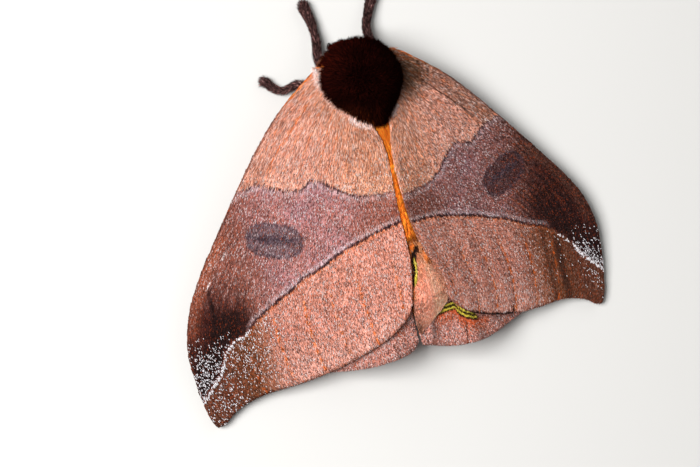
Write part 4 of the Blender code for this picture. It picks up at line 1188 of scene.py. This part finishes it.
def make_gap_hair(material):
    """Long orange hair from the back and the hindwings, which fills the gap between the forewings."""
    count = TUFTS["gap"]
    y = 8.9 + 21.0 * rng.random(count) ** 1.35
    left, right = gap_edges(np.maximum(y, 10.0))
    x = right - 0.5 + (left - right + 1.0) * rng.random(count)
    keep = (y < 24.6) | (x < x_on(FLAP_RING, y) - 0.5 - 0.25 * (y - 24.6)) & (y < 28.5)
    x, y = x[keep], y[keep]
    count = len(x)
    top = roof(x, y) - 0.5
    root = np.column_stack([x, y, top - 0.75 - 1.4 * fall(y, 11.0, 13.5)])
    drift = (gap_edges(y + 2.0)[1] - gap_edges(y)[1]) / 2.0 * 0.7 + rng.normal(0.0, 0.06, count)
    heading = unit(np.column_stack([drift, np.ones(count), np.zeros(count)]))
    tip = np.column_stack([x, y, top]) + heading * rng.uniform(1.1, 2.4, (count, 1))
    tip[:, 2] = roof(tip[:, 0], tip[:, 1]) - 0.5 - 0.3 * ramp(y, 21.0, 25.0)
    clump = 0.5 + 0.5 * wave(x, y * 0.12, 0.16)
    lift = np.outer(rng.uniform(0.0, 0.3, count) + 0.25 * clump, UP)
    points = (root, (root + tip) / 2 + lift + 0.25 * UP, tip + lift)
    widths = draw_widths(count, (0.08, 0.14), (0.06, 0.1))
    # Hair is lighter in the clumps that stand higher, as a painted highlight; the rest of the spread is
    # random.
    shade = np.exp(rng.normal(0.02, 0.16, count)) * (0.78 + 0.4 * clump)
    faded = 0.95 * ramp(y - x, 22.5, 28.5) * rng.random(count) ** 0.4
    colours = blend(np.outer(shade, HAIR_ORANGE), FLAP_TAN, faded)
    spread = np.stack([0.5 + 0.12 * (x - 1.0), 0.05 + 0.03 * (y - 8.0)], 1)
    tufts("gap_hair", points, UP, widths, colours, spread, material, "hindwing")


def flap_point(s, t):
    """The fold of the right hindwing: s from its left side to its right, t from front to back."""
    row = t * (len(FLAP) - 1)
    y, left, right = (np.interp(row, np.arange(len(FLAP)), column) for column in np.transpose(FLAP))
    x = left + (right - left) * s
    side = np.sqrt(x * x + 0.36)
    bulge = FLAP_BULGE * np.sin(np.pi * np.clip(s, 0.0, 1.0)) * ramp(t, 0.2, 0.6)
    bulge *= ramp(left - right, 0.3, 3.0)
    z = hindwing_height(side, y) + FLAP_ABOVE + bulge + 0.12 * ramp(side, 0.8, 3.0)
    return np.stack([x, y, np.minimum(z, roof(x, y) - 0.42)], -1)


def make_flap(skin_material, hair_material):
    """The inner edge of the right hindwing, folded up against the left one, with its hair."""
    grid = flap_point(*np.meshgrid(np.linspace(0.0, 1.0, 40), np.linspace(0.0, 1.0, 120)))
    mesh = sheet_mesh("hindwing_fold_skin", grid)
    set_tint(mesh, flap_tint(grid[..., 0], grid[..., 1]).reshape(-1, 3))
    mesh.shade_smooth()
    sheet = add_piece(mesh.name, mesh, skin_material, "hindwing").modifiers.new("membrane", "SOLIDIFY")
    sheet.thickness = 0.16 * MM
    sheet.offset = 0.0
    count = TUFTS["fold"]
    s, t = rng.random(count), rng.random(count) ** 0.9 * 0.985
    root = flap_point(s, t)
    ahead = unit(flap_point(s, np.minimum(t + 0.02, 1.0)) - root)
    aside = unit(flap_point(s + 0.02, t) - root)
    normal = unit(np.cross(ahead, aside))
    normal *= np.sign(normal[:, 2:3])
    heading = unit(ahead + aside * rng.normal(0.0, 0.12, (count, 1)))
    long = rng.uniform(0.4, 0.8, count) * (1.0 - 0.6 * ramp(t, 0.9, 1.0))
    start = root + normal * 0.06
    tip = start + heading * long[:, None] + normal * rng.uniform(0.05, 0.16, (count, 1))
    colours = mottled(flap_tint(root[:, 0], root[:, 1]), 0.5)
    tufts("hindwing_fold_hair", (start, tip), normal, draw_widths(count, (0.08, 0.13)), colours,
          on_unwrap(s, t), hair_material, "hindwing")


def eye_material():
    """Dark, glossy and finely faceted."""
    made, tree, shader = node_material("eye_facets", 0.22)
    shader.inputs["Coat Weight"].default_value = 0.4
    shader.inputs["Coat Roughness"].default_value = 0.15
    where = add_node(tree, "TexCoord").outputs["Object"]
    cells = add_node(tree, "TexVoronoi", Vector=where, Scale=14.0 / MM).outputs["Distance"]
    colour = add_node(tree, "ValToRGB", Fac=cells)
    for stop, facet in zip(colour.color_ramp.elements, FACETS):
        stop.color = (*linear(facet), 1.0)
    bump = add_node(tree, "Bump", Height=cells, Strength=0.4, Distance=0.02 * MM)
    bump.invert = True
    feed(tree, shader, Base_Color=colour.outputs["Color"], Normal=bump.outputs["Normal"])
    return made


def make_floor():
    """A plain pale floor."""
    bpy.ops.mesh.primitive_plane_add(size=2.0, location=(0.0, 0.0, 0.0))
    floor = bpy.context.object
    floor.name = "floor"
    made, tree, shader = node_material("pale_floor", 0.9, specular=0.2)
    feed(tree, shader, Base_Color=(0.66, 0.65, 0.63, 1.0))
    floor.data.materials.append(made)


def make_camera():
    """The camera, leaning from straight above towards the moth's left and front, head up in the picture."""
    back = Vector((math.sin(LEAN_LEFT), -math.cos(LEAN_LEFT) * math.sin(LEAN_FORWARD),
                   math.cos(LEAN_LEFT) * math.cos(LEAN_FORWARD)))
    right = Vector((0.0, -1.0, 0.0)).cross(back).normalized()
    up = back.cross(right)
    turn = Matrix((right, up, back)).transposed().to_4x4() @ Matrix.Rotation(-ROLL, 4, "Z")
    eye = Vector(place(np.array(LOOK_AT) + np.array(back) * CAMERA_DISTANCE))
    data = bpy.data.cameras.new("camera")
    data.sensor_width = SENSOR_MM
    data.lens = FOCAL_PIXELS / PHOTO_WIDTH * SENSOR_MM
    data.clip_start = 0.01
    data.clip_end = 10.0
    camera = bpy.data.objects.new("camera", data)
    camera.matrix_world = Matrix.Translation(eye) @ turn
    bpy.context.scene.collection.objects.link(camera)
    bpy.context.scene.camera = camera


def add_light(name, position, size, power):
    """A soft square light that faces the moth."""
    data = bpy.data.lights.new(name, "AREA")
    data.size = size
    data.energy = power
    light = bpy.data.objects.new(name, data)
    light.location = position
    light.rotation_euler = (Vector((0.0, 0.0, 0.0)) - Vector(position)).to_track_quat("-Z", "Y").to_euler()
    bpy.context.scene.collection.objects.link(light)


def make_light():
    """Soft studio light, strongest from the moth's left."""
    add_light("key", (0.36, -0.09, 0.37), 0.22, 5.1)
    add_light("fill", (-0.35, -0.25, 0.35), 0.4, 0.4)
    world = bpy.data.worlds.new("studio")
    world.use_nodes = True
    world.node_tree.nodes["Background"].inputs["Color"].default_value = (1.0, 1.0, 1.0, 1.0)
    world.node_tree.nodes["Background"].inputs["Strength"].default_value = 0.16
    bpy.context.scene.world = world
    bpy.context.scene.view_settings.view_transform = "Standard"


make_camera()
make_light()
make_floor()
scale_look, membrane_look, under_look, fur_look, skin_look, horn_look = (
    tinted_material(name, *values) for name, values in LOOKS.items())
eye_look = eye_material()
for side in SIGN:
    left = side == "left"
    forewing, hindwing = Wing("forewing", side, 170, 150), Wing("hindwing", side, 110, 90)
    make_wing_skin(forewing, membrane_look, under_look)
    make_wing_skin(hindwing, membrane_look, under_look)
    scale_coat(forewing, "forewing_scales", scale_look)
    scale_coat(forewing, "forewing_root_hair", scale_look, weight=lambda x, y: fall(y + 0.2 * x, 9.0, 19.0),
               bent=True, turn=0.1, mottle=0.6)
    scale_coat(forewing, "forewing_flecks", scale_look, weight=lambda x, y: fleck_density(side, x, y),
               colour=FLECK_WHITE, mottle=0.1)
    scale_coat(forewing, "forewing_under_scales", scale_look, face=-1.0, shade=0.85)
    scale_coat(hindwing, "hindwing_scales", scale_look,
               weight=lambda x, y: (y > 34.0) * (1.0 - (0.0 if left else ring_zone(x, y))))
    if not left:
        scale_coat(hindwing, "hindwing_ring_scales", scale_look, weight=ring_zone, turn=0.1, mottle=0.2)
    scale_coat(hindwing, "hindwing_under_scales", scale_look, face=-1.0, colour=UNDER_TAN, mottle=0.7)
    make_collar(side, scale_look)
    make_eye(side, eye_look)
    make_antenna(side, horn_look)
make_gap_hair(fur_look)
make_flap(membrane_look, scale_look)
make_body_skin(skin_look)
for layer in ("inner", "outer"):
    make_thorax_coat(f"thorax_coat_{layer}", fur_look)
make_head_coat(fur_look)
make_abdomen_coat(fur_look)
for side in SIGN:
    palp = on_side(side, [PALP_ROOT, PALP_TIP])
    make_limb_coat(f"palp_coat_{side}", palp, (PALP_RADIUS, PALP_RADIUS * 0.7), TUFTS["palp"], 0.12, fur_look,
                   "head", FUR_DARK)
for name, path in LEGS.items():
    make_limb_coat(f"{name}_coat", path, radii_of(name), TUFTS["leg"], 0.5, fur_look, "leg", LEG_FUR)
make_claws(horn_look)
